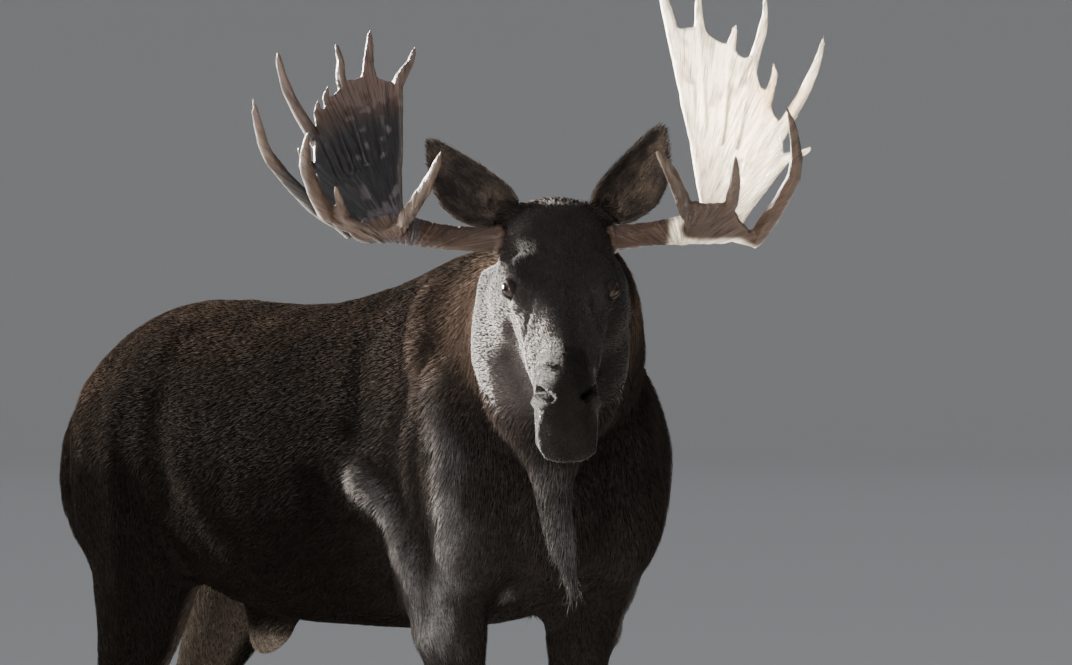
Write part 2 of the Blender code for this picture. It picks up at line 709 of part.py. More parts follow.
def part_body(flesh):
    """Cuts the fused body into its named pieces. What is left is the trunk."""
    for name, sections, foot_x, foot_y in LEGS:
        fore = sections is FORE_LEG
        low_cut = KNEE_CUT if fore else HOCK_CUT
        foot = box((foot_x, foot_y, -0.5 + CORONET_HEIGHT / 2), (0.5, 0.6, 1 + CORONET_HEIGHT))
        boolean(flesh, foot, "DIFFERENCE")
        bpy.data.objects.remove(foot)
        middle = (foot_x, foot_y, low_cut / 2)
        part_off(flesh, f"leg_{name}_lower", box, middle, (0.32, 0.7, low_cut))
        side = math.copysign(1, foot_x)
        part_off(flesh, f"leg_{name}_upper", wedge, side, *(FORE_CUT if fore else HIND_CUT))
    flesh.name = "trunk"
    base = Matrix.Translation(NECK_BASE) @ Matrix.Rotation(HEAD_YAW / 2, 4, "Z")
    base = base @ Matrix.Rotation(NECK_SLOPE, 4, "X")
    neck = part_off(flesh, "neck", box, (0, -1, 0), (2, 2, 2), base)
    head = part_off(neck, "head", box, (0, -0.5, 0.5 + JAW_CUT), (0.7, 1, 1), HEAD_FRAME)
    part_off(head, "muzzle", box, (0, -1 - MUZZLE_CUT, 0), (1, 2, 2), HEAD_FRAME)
    part_off(neck, "bell", box, (BELL_OUT, -0.12, BELL_CUT - 0.5), (0.2, 0.28, 1), HEAD_TURN)
    part_off(flesh, "tail", box, *TAIL_BOX)
    part_off(flesh, "sheath", box, *SHEATH_BOX)
    return head


def main():
    for thing in list(bpy.data.objects):
        bpy.data.objects.remove(thing)
    masses = [make_trunk(), make_neck(), make_tail(), make_sheath(), make_bell()]
    masses += make_muscles() + make_head()
    masses += [make_leg(*leg) for leg in LEGS]
    flesh = fused("trunk", masses, BODY_VOXEL, 9, BODY_TRIANGLES)

    ears = [make_ear("ear_left", 1, 0.52, 0.22, 0.80), make_ear("ear_right", -1, 0.70, 0.22, 0.67)]
    beams = [
        make_antler("antler_left", 1, LEFT_PALM, LEFT_BROW, 0.275, 0.12),
        make_antler("antler_right", -1, RIGHT_PALM, RIGHT_BROW, 0.325, 0.50),
    ]
    dewclaws = []
    for name, sections, foot_x, foot_y in LEGS:
        for toe, which in ((1, "a"), (-1, "b")):
            make_hoof(f"hoof_{name}_{which}", foot_x, foot_y, toe, 0.07)
            dewclaws.append(make_dewclaw(f"dewclaw_{name}_{which}", foot_x, foot_y, toe))
    for ear, beam in zip(ears, beams):
        make_room(ear, beam)
    for piece in ears + beams + dewclaws:
        make_room(flesh, piece)
    head = part_body(flesh)
    for side, name in ((1, "left"), (-1, "right")):
        centre = face_point(side * EYE_OUT, EYE_ALONG, EYE_UP)
        socket = ball("cutter", centre, [EYE_RADIUS + GAP] * 3, HEAD_FRAME)
        boolean(head, socket, "DIFFERENCE")
        bpy.data.objects.remove(socket)
        ball(f"eye_{name}", centre, [EYE_RADIUS] * 3, HEAD_FRAME, detail=2)

    for thing in bpy.data.objects:
        dress(thing)
    stand_on_origin(bpy.data.objects)


main()
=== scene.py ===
# %% [markdown]
# # A bull moose, standing still
#
# A life-size moose as a museum would show it. The solid pieces come from a CAD frame.
# This notebook puts one skin over the flesh, sculpts the face, grows a coat of small
# solid locks on it, and finishes the antlers, eyes and hooves.

# %% Load the frame
import json
import math

import bmesh
import bpy
import numpy as np
from mathutils import Matrix, Vector, bvhtree

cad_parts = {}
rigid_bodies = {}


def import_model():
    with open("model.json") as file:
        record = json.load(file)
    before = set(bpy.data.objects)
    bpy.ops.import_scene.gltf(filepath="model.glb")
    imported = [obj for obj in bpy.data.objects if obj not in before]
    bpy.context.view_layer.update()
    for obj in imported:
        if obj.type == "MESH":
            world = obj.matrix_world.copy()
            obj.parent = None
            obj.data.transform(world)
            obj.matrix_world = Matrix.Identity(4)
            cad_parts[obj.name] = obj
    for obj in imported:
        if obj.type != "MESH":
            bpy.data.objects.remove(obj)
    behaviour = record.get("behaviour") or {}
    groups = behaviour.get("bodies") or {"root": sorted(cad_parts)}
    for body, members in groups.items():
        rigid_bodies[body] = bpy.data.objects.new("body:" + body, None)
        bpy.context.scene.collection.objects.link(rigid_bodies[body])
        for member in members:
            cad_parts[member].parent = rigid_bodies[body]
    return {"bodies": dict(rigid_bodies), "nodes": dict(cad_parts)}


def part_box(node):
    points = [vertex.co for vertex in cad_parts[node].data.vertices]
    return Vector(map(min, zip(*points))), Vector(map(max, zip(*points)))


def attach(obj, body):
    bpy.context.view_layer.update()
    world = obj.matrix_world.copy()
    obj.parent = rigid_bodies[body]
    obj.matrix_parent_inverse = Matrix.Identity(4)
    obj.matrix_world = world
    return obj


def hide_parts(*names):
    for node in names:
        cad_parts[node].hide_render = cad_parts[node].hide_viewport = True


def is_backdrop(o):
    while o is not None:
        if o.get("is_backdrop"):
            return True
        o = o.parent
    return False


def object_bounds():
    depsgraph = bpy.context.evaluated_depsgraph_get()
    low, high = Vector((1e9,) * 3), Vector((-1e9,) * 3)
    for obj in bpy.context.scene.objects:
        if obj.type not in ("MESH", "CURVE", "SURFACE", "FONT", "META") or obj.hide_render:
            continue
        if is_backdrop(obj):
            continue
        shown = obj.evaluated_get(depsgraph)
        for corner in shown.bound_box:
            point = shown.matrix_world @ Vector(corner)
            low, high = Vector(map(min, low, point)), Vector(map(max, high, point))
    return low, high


for thing in list(bpy.data.objects):
    bpy.data.objects.remove(thing)
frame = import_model()
nodes = frame["nodes"]
BODY = next(iter(frame["bodies"]))
cad_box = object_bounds()
print("the frame measures", np.round(np.subtract(cad_box[1], cad_box[0]), 3), "m")

# %% [markdown]
# ## Where things are
#
# The head is turned and tipped, so its features are easiest to place in its own terms:
# how far out from its middle plane, how far along the face from the poll to the nose, and
# how far up from the face's axis. The two eyes of the frame give that frame of reference.

# %% The head's own frame of reference


def middle(name):
    low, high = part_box(name)
    return (Vector(low) + Vector(high)) / 2


SIDES = ((1, "left"), (-1, "right"))
HEAD_PITCH = math.radians(33)  # how far the nose points below the level
EYE_OUT, EYE_ALONG, EYE_UP = 0.098, 0.232, 0.040  # from the poll to the left eye

eyes = {side: middle(f"eye_{name}") for side, name in SIDES}
EYE_RADIUS = (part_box("eye_left")[1][2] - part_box("eye_left")[0][2]) / 2
OUT = (eyes[1] - eyes[-1]).normalized()
GAZE = Vector((OUT.y, -OUT.x, 0))
UP = Vector((0, 0, 1))
ALONG = GAZE * math.cos(HEAD_PITCH) - UP * math.sin(HEAD_PITCH)
CROWN = GAZE * math.sin(HEAD_PITCH) + UP * math.cos(HEAD_PITCH)
POLL = (eyes[1] + eyes[-1]) / 2 - ALONG * EYE_ALONG - CROWN * EYE_UP
HEAD_AXES = np.array([OUT, ALONG, CROWN])


def in_head(points):
    """World points as (out, along, up) of the head."""
    return (points - np.array(POLL)) @ HEAD_AXES.T


def from_head(places):
    """(out, along, up) of the head as world points."""
    return np.asarray(places) @ HEAD_AXES + np.array(POLL)


def lengths(vectors):
    return np.linalg.norm(vectors, axis=1)


def unit(vectors):
    """The same directions with a length of 1."""
    return vectors / lengths(vectors)[:, None].clip(1e-6)


def from_poll(points):
    """How far each point is from the poll."""
    return lengths(points - np.array(POLL))


MID = (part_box("trunk")[0][0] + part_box("trunk")[1][0]) / 2  # the body's middle plane
print("poll at", np.round(POLL, 3), "and eyes of radius", round(EYE_RADIUS, 4))

# %% [markdown]
# ## Camera and studio
#
# The moose is seen from far off through a long lens, from in front of its right shoulder,
# with the camera level at the height of the eyes. A long lens keeps the near and the far
# antler at one scale.

# %% Camera
SEEN_FROM = math.radians(37)  # to the moose's right of its front
CAMERA_DISTANCE = 19.3
CAMERA_HEIGHT = 1.65
AIM = Vector((0.5687, -0.0065, 0))
LOOKING_DOWN = math.radians(0.27)
FOCAL_LENGTH = 302.2

back_off = Vector((math.sin(SEEN_FROM), math.cos(SEEN_FROM), 0)) * CAMERA_DISTANCE
camera = bpy.data.objects.new("camera", bpy.data.cameras.new("camera"))
bpy.context.scene.collection.objects.link(camera)
camera.location = AIM - back_off + UP * CAMERA_HEIGHT
camera.rotation_euler = (math.pi / 2 - LOOKING_DOWN, 0, -SEEN_FROM)
camera.data.lens = FOCAL_LENGTH
camera.data.clip_end = 200
bpy.context.scene.camera = camera
print("camera at", np.round(camera.location, 2))

# %% Helpers for meshes


def in_scene(name, data):
    """A new object of this name in the scene, with this mesh or lamp."""
    thing = bpy.data.objects.new(name, data)
    bpy.context.scene.collection.objects.link(thing)
    return thing


def make_object(name, points, faces):
    """A smooth mesh object from arrays of points and of triangles or quads."""
    mesh = bpy.data.meshes.new(name)
    points = np.asarray(points, np.float32)
    faces = np.asarray(faces, np.int32)
    corners = faces.shape[1]
    mesh.vertices.add(len(points))
    mesh.vertices.foreach_set("co", points.ravel())
    mesh.loops.add(faces.size)
    mesh.loops.foreach_set("vertex_index", faces.ravel())
    mesh.polygons.add(len(faces))
    mesh.polygons.foreach_set("loop_start", np.arange(0, faces.size, corners, dtype=np.int32))
    mesh.polygons.foreach_set("use_smooth", np.full(len(faces), True))
    mesh.update(calc_edges=True)
    return in_scene(name, mesh)


def rings_to_faces(rings, around, closed):
    """Quads between rings of points, each with the same number of points."""
    last = rings if closed else rings - 1
    return [
        (ring * around + i, ring * around + (i + 1) % around,
         (ring + 1) % rings * around + (i + 1) % around, (ring + 1) % rings * around + i)
        for ring in range(last)
        for i in range(around)
    ]


def from_bmesh(name, shape):
    """The worked shape as an object."""
    mesh = bpy.data.meshes.new(name)
    shape.to_mesh(mesh)
    shape.free()
    return in_scene(name, mesh)


def rows_of(items, field, width, kind=np.float32):
    """One field of all the items of a mesh, a row for each item."""
    flat = np.empty(len(items) * width, kind)
    items.foreach_get(field, flat)
    return flat.reshape(-1, width)


def points_of(thing):
    return rows_of(thing.data.vertices, "co", 3).astype(float)


def normals_of(thing):
    return rows_of(thing.data.vertex_normals, "vector", 3).astype(float)


def edges_of(thing):
    return rows_of(thing.data.edges, "vertices", 2, np.int32)


def triangles_of(thing):
    thing.data.calc_loop_triangles()
    return rows_of(thing.data.loop_triangles, "vertices", 3, np.int32)


def set_points(thing, points):
    thing.data.vertices.foreach_set("co", np.asarray(points, np.float32).ravel())
    thing.data.update()


def apply_modifiers(thing):
    """Makes what the thing's modifiers do part of its mesh."""
    bpy.context.view_layer.update()
    graph = bpy.context.evaluated_depsgraph_get()
    thing.data = bpy.data.meshes.new_from_object(thing.evaluated_get(graph))
    thing.modifiers.clear()


def remeshed(name, things, voxel, swell=0.0):
    """The things, each swollen a little so that they overlap, as one closed surface."""
    shape = bmesh.new()
    for thing in things:
        before = len(shape.verts)
        shape.from_mesh(thing.data)
        shape.verts.ensure_lookup_table()
        for vertex in shape.verts[before:]:
            vertex.co += vertex.normal * swell
    whole = from_bmesh(name, shape)
    step = whole.modifiers.new("one_surface", "REMESH")
    step.mode, step.voxel_size = "VOXEL", voxel
    apply_modifiers(whole)
    return whole


def mean_of_neighbours(values, edges):
    """For each point, the mean of values over the points that an edge joins to it."""
    count = len(values)
    share = np.bincount(edges.ravel(), minlength=count).clip(1)
    out = np.empty_like(values)
    flat, made = values.reshape(count, -1), out.reshape(count, -1)
    for column in range(flat.shape[1]):
        made[:, column] = np.bincount(
            edges[:, 0], weights=flat[edges[:, 1], column], minlength=count
        ) + np.bincount(edges[:, 1], weights=flat[edges[:, 0], column], minlength=count)
        made[:, column] /= share
    return out


def even_out(points, edges, rounds, turns=None):
    """Smooths away facets and keeps the volume. turns: how many of the rounds each point takes."""
    for turn in range(rounds):
        live = 1 if turns is None else (turns > turn)[:, None]
        for push in (0.50, -0.53):
            points = points + push * live * (mean_of_neighbours(points, edges) - points)
    return points


print("helpers ready")

# %% [markdown]
# ## The skin
#
# All the pieces of flesh become one surface, so that no cut between them shows. A voxel
# remesh joins them, and smoothing takes the frame's flat facets away. Balls fill the
# pockets in which the antlers sit.

# %% One surface over all the flesh
HARD = ("eye", "antler", "hoof", "dewclaw")
FLESH = [name for name in nodes if not name.startswith(HARD)]
EARS = [name for name in FLESH if name.startswith("ear")]
BODY_FLESH = [name for name in FLESH if name not in EARS]
BODY_VOXEL = 0.0135
SWELL = 0.002  # closes the cuts between the pieces
# Where an antler and an ear grow from the head (out, along, up), and a filler's radius.
POCKETS = ((0.080, 0.002, 0.006, 0.038), (0.082, -0.040, 0.036, 0.040))


def ball(name, centre, radius):
    shape = bmesh.new()
    place = Matrix.Translation(centre)
    bmesh.ops.create_icosphere(shape, subdivisions=3, radius=radius, matrix=place)
    return from_bmesh(name, shape)


fillers = [
    ball("filler", Vector(from_head((side * out, along, up))), radius)
    for side in (1, -1)
    for out, along, up, radius in POCKETS
]
hard_fillers = [thing for name, thing in nodes.items() if name.startswith(("eye", "dewclaw"))]
flesh = [nodes[name] for name in BODY_FLESH]
skin = remeshed("skin", flesh + fillers + hard_fillers, BODY_VOXEL, SWELL)
for filler in fillers:
    bpy.data.objects.remove(filler)
print("skin:", len(skin.data.polygons), "faces")

# %% [markdown]
# ## Which part is where
#
# The finish changes from part to part, but gradually. So each point of the skin learns
# which piece of the frame is nearest, and those shares are then spread a little over
# the neighbouring points. Everything that varies over the body reads them.

# %% Shares of each part at each point
PARTS = ("trunk", "neck", "head", "muzzle", "bell", "tail", "sheath", "upper", "lower", "ear")


def part_of(name):
    """The part that a node of flesh belongs to."""
    if name.startswith("leg"):
        return name.rsplit("_", 1)[-1]
    return name.split("_")[0]


def nearest_parts(points):
    """For each point, the number in PARTS of the nearest piece of the body's flesh."""
    corners, faces, owner = [], [], []
    for name in BODY_FLESH:
        start = len(corners)
        mesh = nodes[name].data
        corners += [vertex.co.copy() for vertex in mesh.vertices]
        faces += [[start + corner for corner in face.vertices] for face in mesh.polygons]
        owner += [PARTS.index(part_of(name))] * len(mesh.polygons)
    tree = bvhtree.BVHTree.FromPolygons(corners, faces)
    return np.array([owner[tree.find_nearest(Vector(point))[2]] for point in points])


def blurred(values, edges, rounds):
    for _ in range(rounds):
        values = 0.5 * values + 0.5 * mean_of_neighbours(values, edges)
    return values


def ramp(values, start, end):
    """0 before start, 1 after end, and smooth between."""
    t = np.clip((values - start) / (end - start), 0, 1)
    return t * t * (3 - 2 * t)


def shares(points, edges, rounds):
    """A column for each of PARTS, spread over its neighbourhood."""
    return blurred(np.eye(len(PARTS))[nearest_parts(points)], edges, rounds)


def part(share, *names):
    """How far each point belongs to the named parts together."""
    return sum(share[:, PARTS.index(name)] for name in names)


points, edges = points_of(skin), edges_of(skin)
share = shares(points, edges, 4)
is_head = part(share, "head", "muzzle")
hanging = part(share, "bell", "tail", "sheath")
SMOOTHING = 24  # rounds; the head and what hangs take fewer, to keep their shape
turns = SMOOTHING * (1 - 0.6 * is_head.clip(0, 1)) * (1 - 0.75 * hanging.clip(0, 1))
points = even_out(points, edges, SMOOTHING, turns)
set_points(skin, points)
print("parts:", {part: int((share.argmax(1) == i).sum()) for i, part in enumerate(PARTS)})

# %% [markdown]
# ## Room for the coat
#
# The frame's surface is where the tips of the coat are, so the skin lies inside it by the
# depth of the coat: deepest over the neck and withers, and almost nothing on the nose.

# %% The skin moves inwards, and the face gets a finer mesh
#              trunk  neck   head   muzzle bell   tail   sheath upper  lower  ear
COAT_DEPTH = (0.007, 0.010, 0.005, 0.002, 0.010, 0.010, 0.003, 0.006, 0.004, 0.0020)

points = points - normals_of(skin) * (share @ np.array(COAT_DEPTH) + SWELL)[:, None]
points = even_out(points, edges, 3)
set_points(skin, points)


HEAD_REACH = 0.9  # all of the head lies this near to the poll
EYE_SURROUND = 0.062  # how far round an eye the mesh is finest


def finer(thing, chosen):
    """Splits every chosen face in four. chosen: one truth value for each point."""
    shape = bmesh.new()
    shape.from_mesh(thing.data)
    shape.verts.ensure_lookup_table()
    cut = [edge for edge in shape.edges if all(chosen[vertex.index] for vertex in edge.verts)]
    bmesh.ops.subdivide_edges(shape, edges=cut, cuts=1, use_grid_fill=True)
    shape.to_mesh(thing.data)
    shape.free()
    return points_of(thing), edges_of(thing)


def near_face_detail(points):
    """True around the eyes, the nostrils and the lips."""
    out, along, up = in_head(points).T
    from_eye = (np.abs(out) - EYE_OUT) ** 2 + (along - EYE_ALONG) ** 2 + (up - EYE_UP) ** 2
    eye = np.sqrt(from_eye) < EYE_SURROUND
    lips = (along > 0.40) & (along < 0.75) & (up > -0.20)
    return eye | lips


points, edges = finer(skin, is_head > 0.6)
points = even_out(points, edges, 4, 4 * (from_poll(points) < 0.75))
set_points(skin, points)
points, edges = finer(skin, (from_poll(points) < HEAD_REACH) & near_face_detail(points))
points = even_out(points, edges, 2, 2 * near_face_detail(points))
set_points(skin, points)
print("body skin:", len(points), "points", len(triangles_of(skin)), "triangles")

# %% [markdown]
# ## Bone and muscle under the skin
#
# Forms are raised or sunk along the skin's normals. Each is a path and a height, with a
# soft or a steep edge. On the body these are the edges, grooves and hollows of the
# shoulder, the elbow, the ribs' edge, the flank, the hip and the thigh; their shadows are
# what gives a dark coat its shape.

# %% Forms of the body


def distance_to(places, path):
    """How far each place is from a path of straight pieces."""
    best = np.full(len(places), np.inf)
    for start, end in zip(np.array(path), np.array(path)[1:]):
        run = end - start
        t = np.clip(((places - start) @ run) / (run @ run), 0, 1)
        best = np.minimum(best, lengths(places - start - t[:, None] * run))
    return best


def formed(places, forms):
    """How far the forms raise each place. The two sides are alike."""
    places = np.column_stack([np.abs(places[:, 0]), places[:, 1:]])
    raised = np.zeros(len(places))
    for _, path, width, height, steep in forms:
        raised += height * np.exp(-((distance_to(places, path) / width) ** steep))
    return raised


# Forms of the flanks, alike on both sides: name, path as (along Y, up), half width, height
# and how steep the edge is.
SHOULDER_FRONT = ((-0.40, 1.45), (-0.45, 1.32), (-0.44, 1.16), (-0.39, 1.04), (-0.35, 0.93))
SHOULDER_BACK = ((-0.13, 1.25), (-0.20, 1.20), (-0.26, 1.13), (-0.31, 1.05), (-0.30, 0.93))
BODY_FORMS = (
    ("front of the shoulder", SHOULDER_FRONT, 0.032, 0.013, 2),
    ("before the shoulder", ((-0.48, 1.47), (-0.53, 1.32), (-0.52, 1.16)), 0.038, -0.012, 2),
    ("back of the shoulder", SHOULDER_BACK, 0.034, 0.016, 2),
    ("behind the shoulder", ((0.01, 1.22), (-0.09, 1.13), (-0.15, 1.04)), 0.045, -0.014, 2),
    ("groove of the shoulder", ((-0.34, 1.36), (-0.35, 1.22), (-0.345, 1.10)), 0.034, -0.011, 2),
    ("spine of the blade", ((-0.34, 1.42), (-0.27, 1.54), (-0.21, 1.64)), 0.026, 0.008, 2),
    ("behind the blade", ((-0.12, 1.38), (-0.07, 1.52)), 0.05, -0.008, 2),
    ("elbow", ((-0.215, 0.985), (-0.205, 0.95)), 0.03, 0.009, 2),
    ("edge of the ribs", ((0.18, 1.00), (0.38, 1.10), (0.52, 1.28)), 0.05, 0.007, 2),
    ("hollow of the flank", ((0.59, 1.22), (0.63, 1.40)), 0.065, -0.014, 2),
    ("fold of the flank", ((0.56, 0.98), (0.66, 1.05), (0.73, 1.18)), 0.028, 0.01, 2),
    ("hip bone", ((0.70, 1.53), (0.75, 1.51)), 0.045, 0.011, 2),
    ("front of the thigh", ((0.80, 1.40), (0.79, 1.20), (0.80, 1.02)), 0.045, 0.009, 2),
    ("groove of the thigh", ((1.04, 1.42), (1.01, 1.22), (1.02, 1.00)), 0.028, -0.011, 2),
    ("back of the thigh", ((1.12, 1.36), (1.10, 1.18)), 0.035, 0.007, 2),
)
BREAST = (("groove of the breast", ((0.0, -0.65, 1.34), (0.0, -0.64, 1.05)), 0.04, -0.016, 2),)


def flank_forms(points, normals, forms):
    """How far the forms of the flanks raise each point: full on the sides, none elsewhere."""
    place = np.column_stack([0 * points[:, 0], points[:, 1:]])
    paths = [(name, [(0, *step) for step in path], *rest) for name, path, *rest in forms]
    facing = ramp(normals[:, 0] * np.sign(points[:, 0] - MID), 0.15, 0.60)
    clear_of_head = 1 - ramp(-from_poll(points), -0.62, -0.50)
    return formed(place, paths) * facing * clear_of_head


normals = normals_of(skin)
raised = flank_forms(points, normals, BODY_FORMS)
raised += formed(np.column_stack([points[:, 0] - MID, points[:, 1:]]), BREAST)
set_points(skin, points + normals * raised[:, None])
points = points_of(skin)
print(len(BODY_FORMS) + len(BREAST), "forms in the body")

# %% [markdown]
# ## The face
#
# A moose's face is bone and muscle under a thin coat: a ridge from the eye down the
# cheek, a brow over the eye, a round jaw muscle, and a long soft nose that overhangs the
# lower lip. Each is made as the body's forms are, along a path through the face.

# %% Ridges, hollows and openings
# What it is, its path as (out, along, up), half width, height, and how steep its edge is.
FACE_FORMS = (
    ("brow", ((0.082, 0.160, 0.082), (0.094, 0.190, 0.080), (0.104, 0.240, 0.070)),
     0.014, 0.007, 2),
    ("fold over the eye", ((0.116, 0.190, 0.060), (0.112, 0.235, 0.064)), 0.008, 0.004, 2),
    ("mound of the eye", ((0.100, 0.222, 0.036), (0.098, 0.240, 0.038)), 0.032, 0.005, 2),
    ("tear corner", ((0.100, 0.260, 0.020), (0.095, 0.275, 0.015)), 0.006, -0.004, 2),
    ("pit before the eye", ((0.070, 0.275, 0.050), (0.070, 0.305, 0.030), (0.075, 0.340, 0.005)),
     0.014, -0.009, 3),
    ("outer edge of the pit", ((0.095, 0.260, 0.015), (0.090, 0.300, 0.010), (0.080, 0.350, -0.015),
     (0.070, 0.400, -0.040), (0.065, 0.450, -0.050)), 0.0085, 0.007, 2),
    ("inner edge of the pit", ((0.045, 0.260, 0.065), (0.060, 0.315, 0.040), (0.070, 0.355, 0.000)),
     0.0085, 0.006, 2),
    ("cheekbone", ((0.115, 0.230, -0.005), (0.125, 0.150, 0.000), (0.120, 0.060, 0.015)),
     0.016, 0.006, 2),
    ("jaw muscle", ((0.130, 0.060, -0.060), (0.128, 0.130, -0.085), (0.110, 0.210, -0.095)),
     0.050, 0.006, 2),
    ("fold of the cheek", ((0.105, 0.250, -0.045), (0.085, 0.330, -0.075), (0.070, 0.400, -0.090)),
     0.016, -0.008, 2),
    ("hollow of the cheek", ((0.082, 0.380, -0.066), (0.070, 0.450, -0.070)), 0.022, -0.006, 2),
    ("edge of the jaw", ((0.100, 0.020, -0.165), (0.084, 0.140, -0.180), (0.060, 0.280, -0.158),
     (0.046, 0.400, -0.128)), 0.015, 0.007, 2),
    ("temple", ((0.100, 0.125, 0.062), (0.108, 0.065, 0.056)), 0.026, -0.008, 2),
    ("crown", ((0.000, 0.010, 0.100), (0.030, 0.000, 0.098)), 0.040, 0.006, 2),
    ("side of the nose", ((0.046, 0.360, 0.050), (0.042, 0.440, 0.044), (0.040, 0.500, 0.044)),
     0.012, 0.004, 2),
    ("hollow of the nose", ((0.064, 0.420, 0.004), (0.060, 0.470, -0.004)), 0.014, -0.006, 2),
    ("fold over the nostril", ((0.030, 0.520, 0.050), (0.050, 0.490, 0.030), (0.060, 0.460, 0.000),
     (0.070, 0.430, -0.025)), 0.0085, 0.0075, 2),
    ("nostril", ((0.035, 0.605, 0.030), (0.050, 0.580, 0.025), (0.060, 0.545, 0.010),
     (0.065, 0.515, -0.010)), 0.0095, -0.026, 6),
    ("rim of the nostril", ((0.030, 0.620, 0.020), (0.050, 0.600, 0.005), (0.065, 0.565, -0.010),
     (0.070, 0.530, -0.025)), 0.0075, 0.0055, 2),
    ("edge of the muzzle", ((0.050, 0.620, -0.005), (0.055, 0.630, -0.035), (0.050, 0.640, -0.070)),
     0.010, 0.0045, 2),
    ("corner of the lip", ((0.050, 0.640, -0.074), (0.046, 0.646, -0.082)), 0.014, 0.006, 2),
    ("front of the muzzle", ((0.000, 0.650, -0.010), (0.000, 0.664, -0.050)), 0.034, -0.003, 2),
    ("upper lip", ((0.000, 0.655, -0.088), (0.034, 0.640, -0.086), (0.054, 0.592, -0.084),
     (0.060, 0.530, -0.076)), 0.011, 0.006, 2),
    ("mouth", ((0.000, 0.628, -0.112), (0.030, 0.612, -0.108), (0.050, 0.568, -0.100),
     (0.058, 0.500, -0.090), (0.062, 0.425, -0.082)), 0.0055, -0.012, 4),
    ("lower lip", ((0.000, 0.596, -0.126), (0.026, 0.584, -0.124), (0.042, 0.540, -0.116),
     (0.050, 0.480, -0.106)), 0.010, 0.006, 2),
    ("groove of the lip", ((0.000, 0.668, -0.060), (0.000, 0.660, -0.090)), 0.004, -0.003, 2),
    ("corner of the mouth", ((0.064, 0.424, -0.082), (0.066, 0.400, -0.088)), 0.010, -0.004, 2),
)


def eye_axes(side):
    """The eye's own axes: out of the pupil, towards the nose, and up."""
    ahead = (OUT * side * 0.66 + ALONG * 0.62 + CROWN * 0.40).normalized()
    corner = ALONG * 0.96 - CROWN * 0.16
    nose = (corner - ahead * ahead.dot(corner)).normalized()
    above = ahead.cross(nose)
    return np.array((ahead, nose, above if above.dot(CROWN) > 0 else -above))


def open_sockets(points):
    """Sinks the skin behind each eye's lids, so that only the eye and its lids show there."""
    for side, centre in eyes.items():
        away = points - np.array(centre)
        gap = lengths(away)
        before = ramp(away @ eye_axes(side)[0] / gap, 0.25, 0.55) * (gap < EYE_RADIUS * 1.7)
        before = np.maximum(before, gap < EYE_RADIUS + 0.0015)
        wanted = gap + (np.minimum(gap, EYE_RADIUS * 0.85) - gap) * before
        points = np.array(centre) + away * (wanted / gap)[:, None]
    return points


face = from_poll(points) < HEAD_REACH
points[face] += normals_of(skin)[face] * formed(in_head(points[face]), FACE_FORMS)[:, None]
points = open_sockets(points)
set_points(skin, points)
print(len(FACE_FORMS), "forms in the face")

# %% [markdown]
# ## The ears
#
# An ear is a thin cupped leaf, so it gets a mesh of its own that is fine enough for its
# edge. It then joins the skin at its root, where the coat covers the join.

# %% Ears join the skin
EAR_VOXEL = 0.0032


def make_ear(name):
    ear = remeshed(name + "_skin", [nodes[name]], EAR_VOXEL)
    places, joins = points_of(ear), edges_of(ear)
    places = even_out(places, joins, 10)
    set_points(ear, places)
    set_points(ear, places - normals_of(ear) * COAT_DEPTH[PARTS.index("ear")])
    return ear


body_points = len(skin.data.vertices)
shape = bmesh.new()
shape.from_mesh(skin.data)
for name in EARS:
    ear = make_ear(name)
    shape.from_mesh(ear.data)
    bpy.data.objects.remove(ear)
shape.to_mesh(skin.data)
shape.free()
skin.data.shade_smooth()
print("whole skin:", len(triangles_of(skin)), "triangles")

# %% [markdown]
# ## Studio
#
# A pale round studio: a floor that curves up into a wall. Through a long lens the whole
# moose is only in view from some fifty metres off, so the wall stands well beyond that, and
# the moose can be looked at from every side. One large soft lamp stands high behind the
# moose's right side, so that light rakes over the coat and the cheek. Two narrow ones pick
# out the cheek and the pale palm, a broad one fills from the front, and a weak one hangs
# above.

# %% Floor and wall
FLOOR_RADIUS, WALL_HEIGHT, COVE = 68.0, 22.0, 14.0


def plain_material(name, colour, roughness):
    material = bpy.data.materials.new(name)
    material.use_nodes = True
    surface = material.node_tree.nodes["Principled BSDF"]
    surface.inputs["Base Color"].default_value = (*colour, 1)
    surface.inputs["Roughness"].default_value = roughness
    return material


def make_studio():
    """A turned dish: flat floor, round cove and upright wall."""
    turns = np.linspace(0, math.pi / 2, 9)
    radii = [0.0, *(FLOOR_RADIUS + COVE * np.sin(turns)), FLOOR_RADIUS + COVE]
    heights = [0.0, *(COVE * (1 - np.cos(turns))), WALL_HEIGHT]
    sides = np.linspace(0, 2 * math.pi, 96, endpoint=False)
    points = [
        (radius * math.cos(side), radius * math.sin(side), height)
        for radius, height in zip(radii, heights)
        for side in sides
    ]
    faces = rings_to_faces(len(radii), len(sides), False)
    studio = make_object("studio_floor", points, faces)
    studio.data.materials.append(plain_material("studio_paint", (0.52, 0.51, 0.50), 0.9))
    studio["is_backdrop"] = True


make_studio()

# %% Lamps
CENTRE = Vector((0.15, 0.0, 1.2))
CHEEK = Vector(eyes[-1]) + ALONG * 0.14
PALM = (Vector(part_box("antler_left_palm")[0]) + Vector(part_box("antler_left_palm")[1])) / 2
TO_LEFT = Vector((-math.cos(SEEN_FROM), math.sin(SEEN_FROM), 0))  # the picture's left
AWAY = Vector((math.sin(SEEN_FROM), math.cos(SEEN_FROM), 0))  # away from the camera


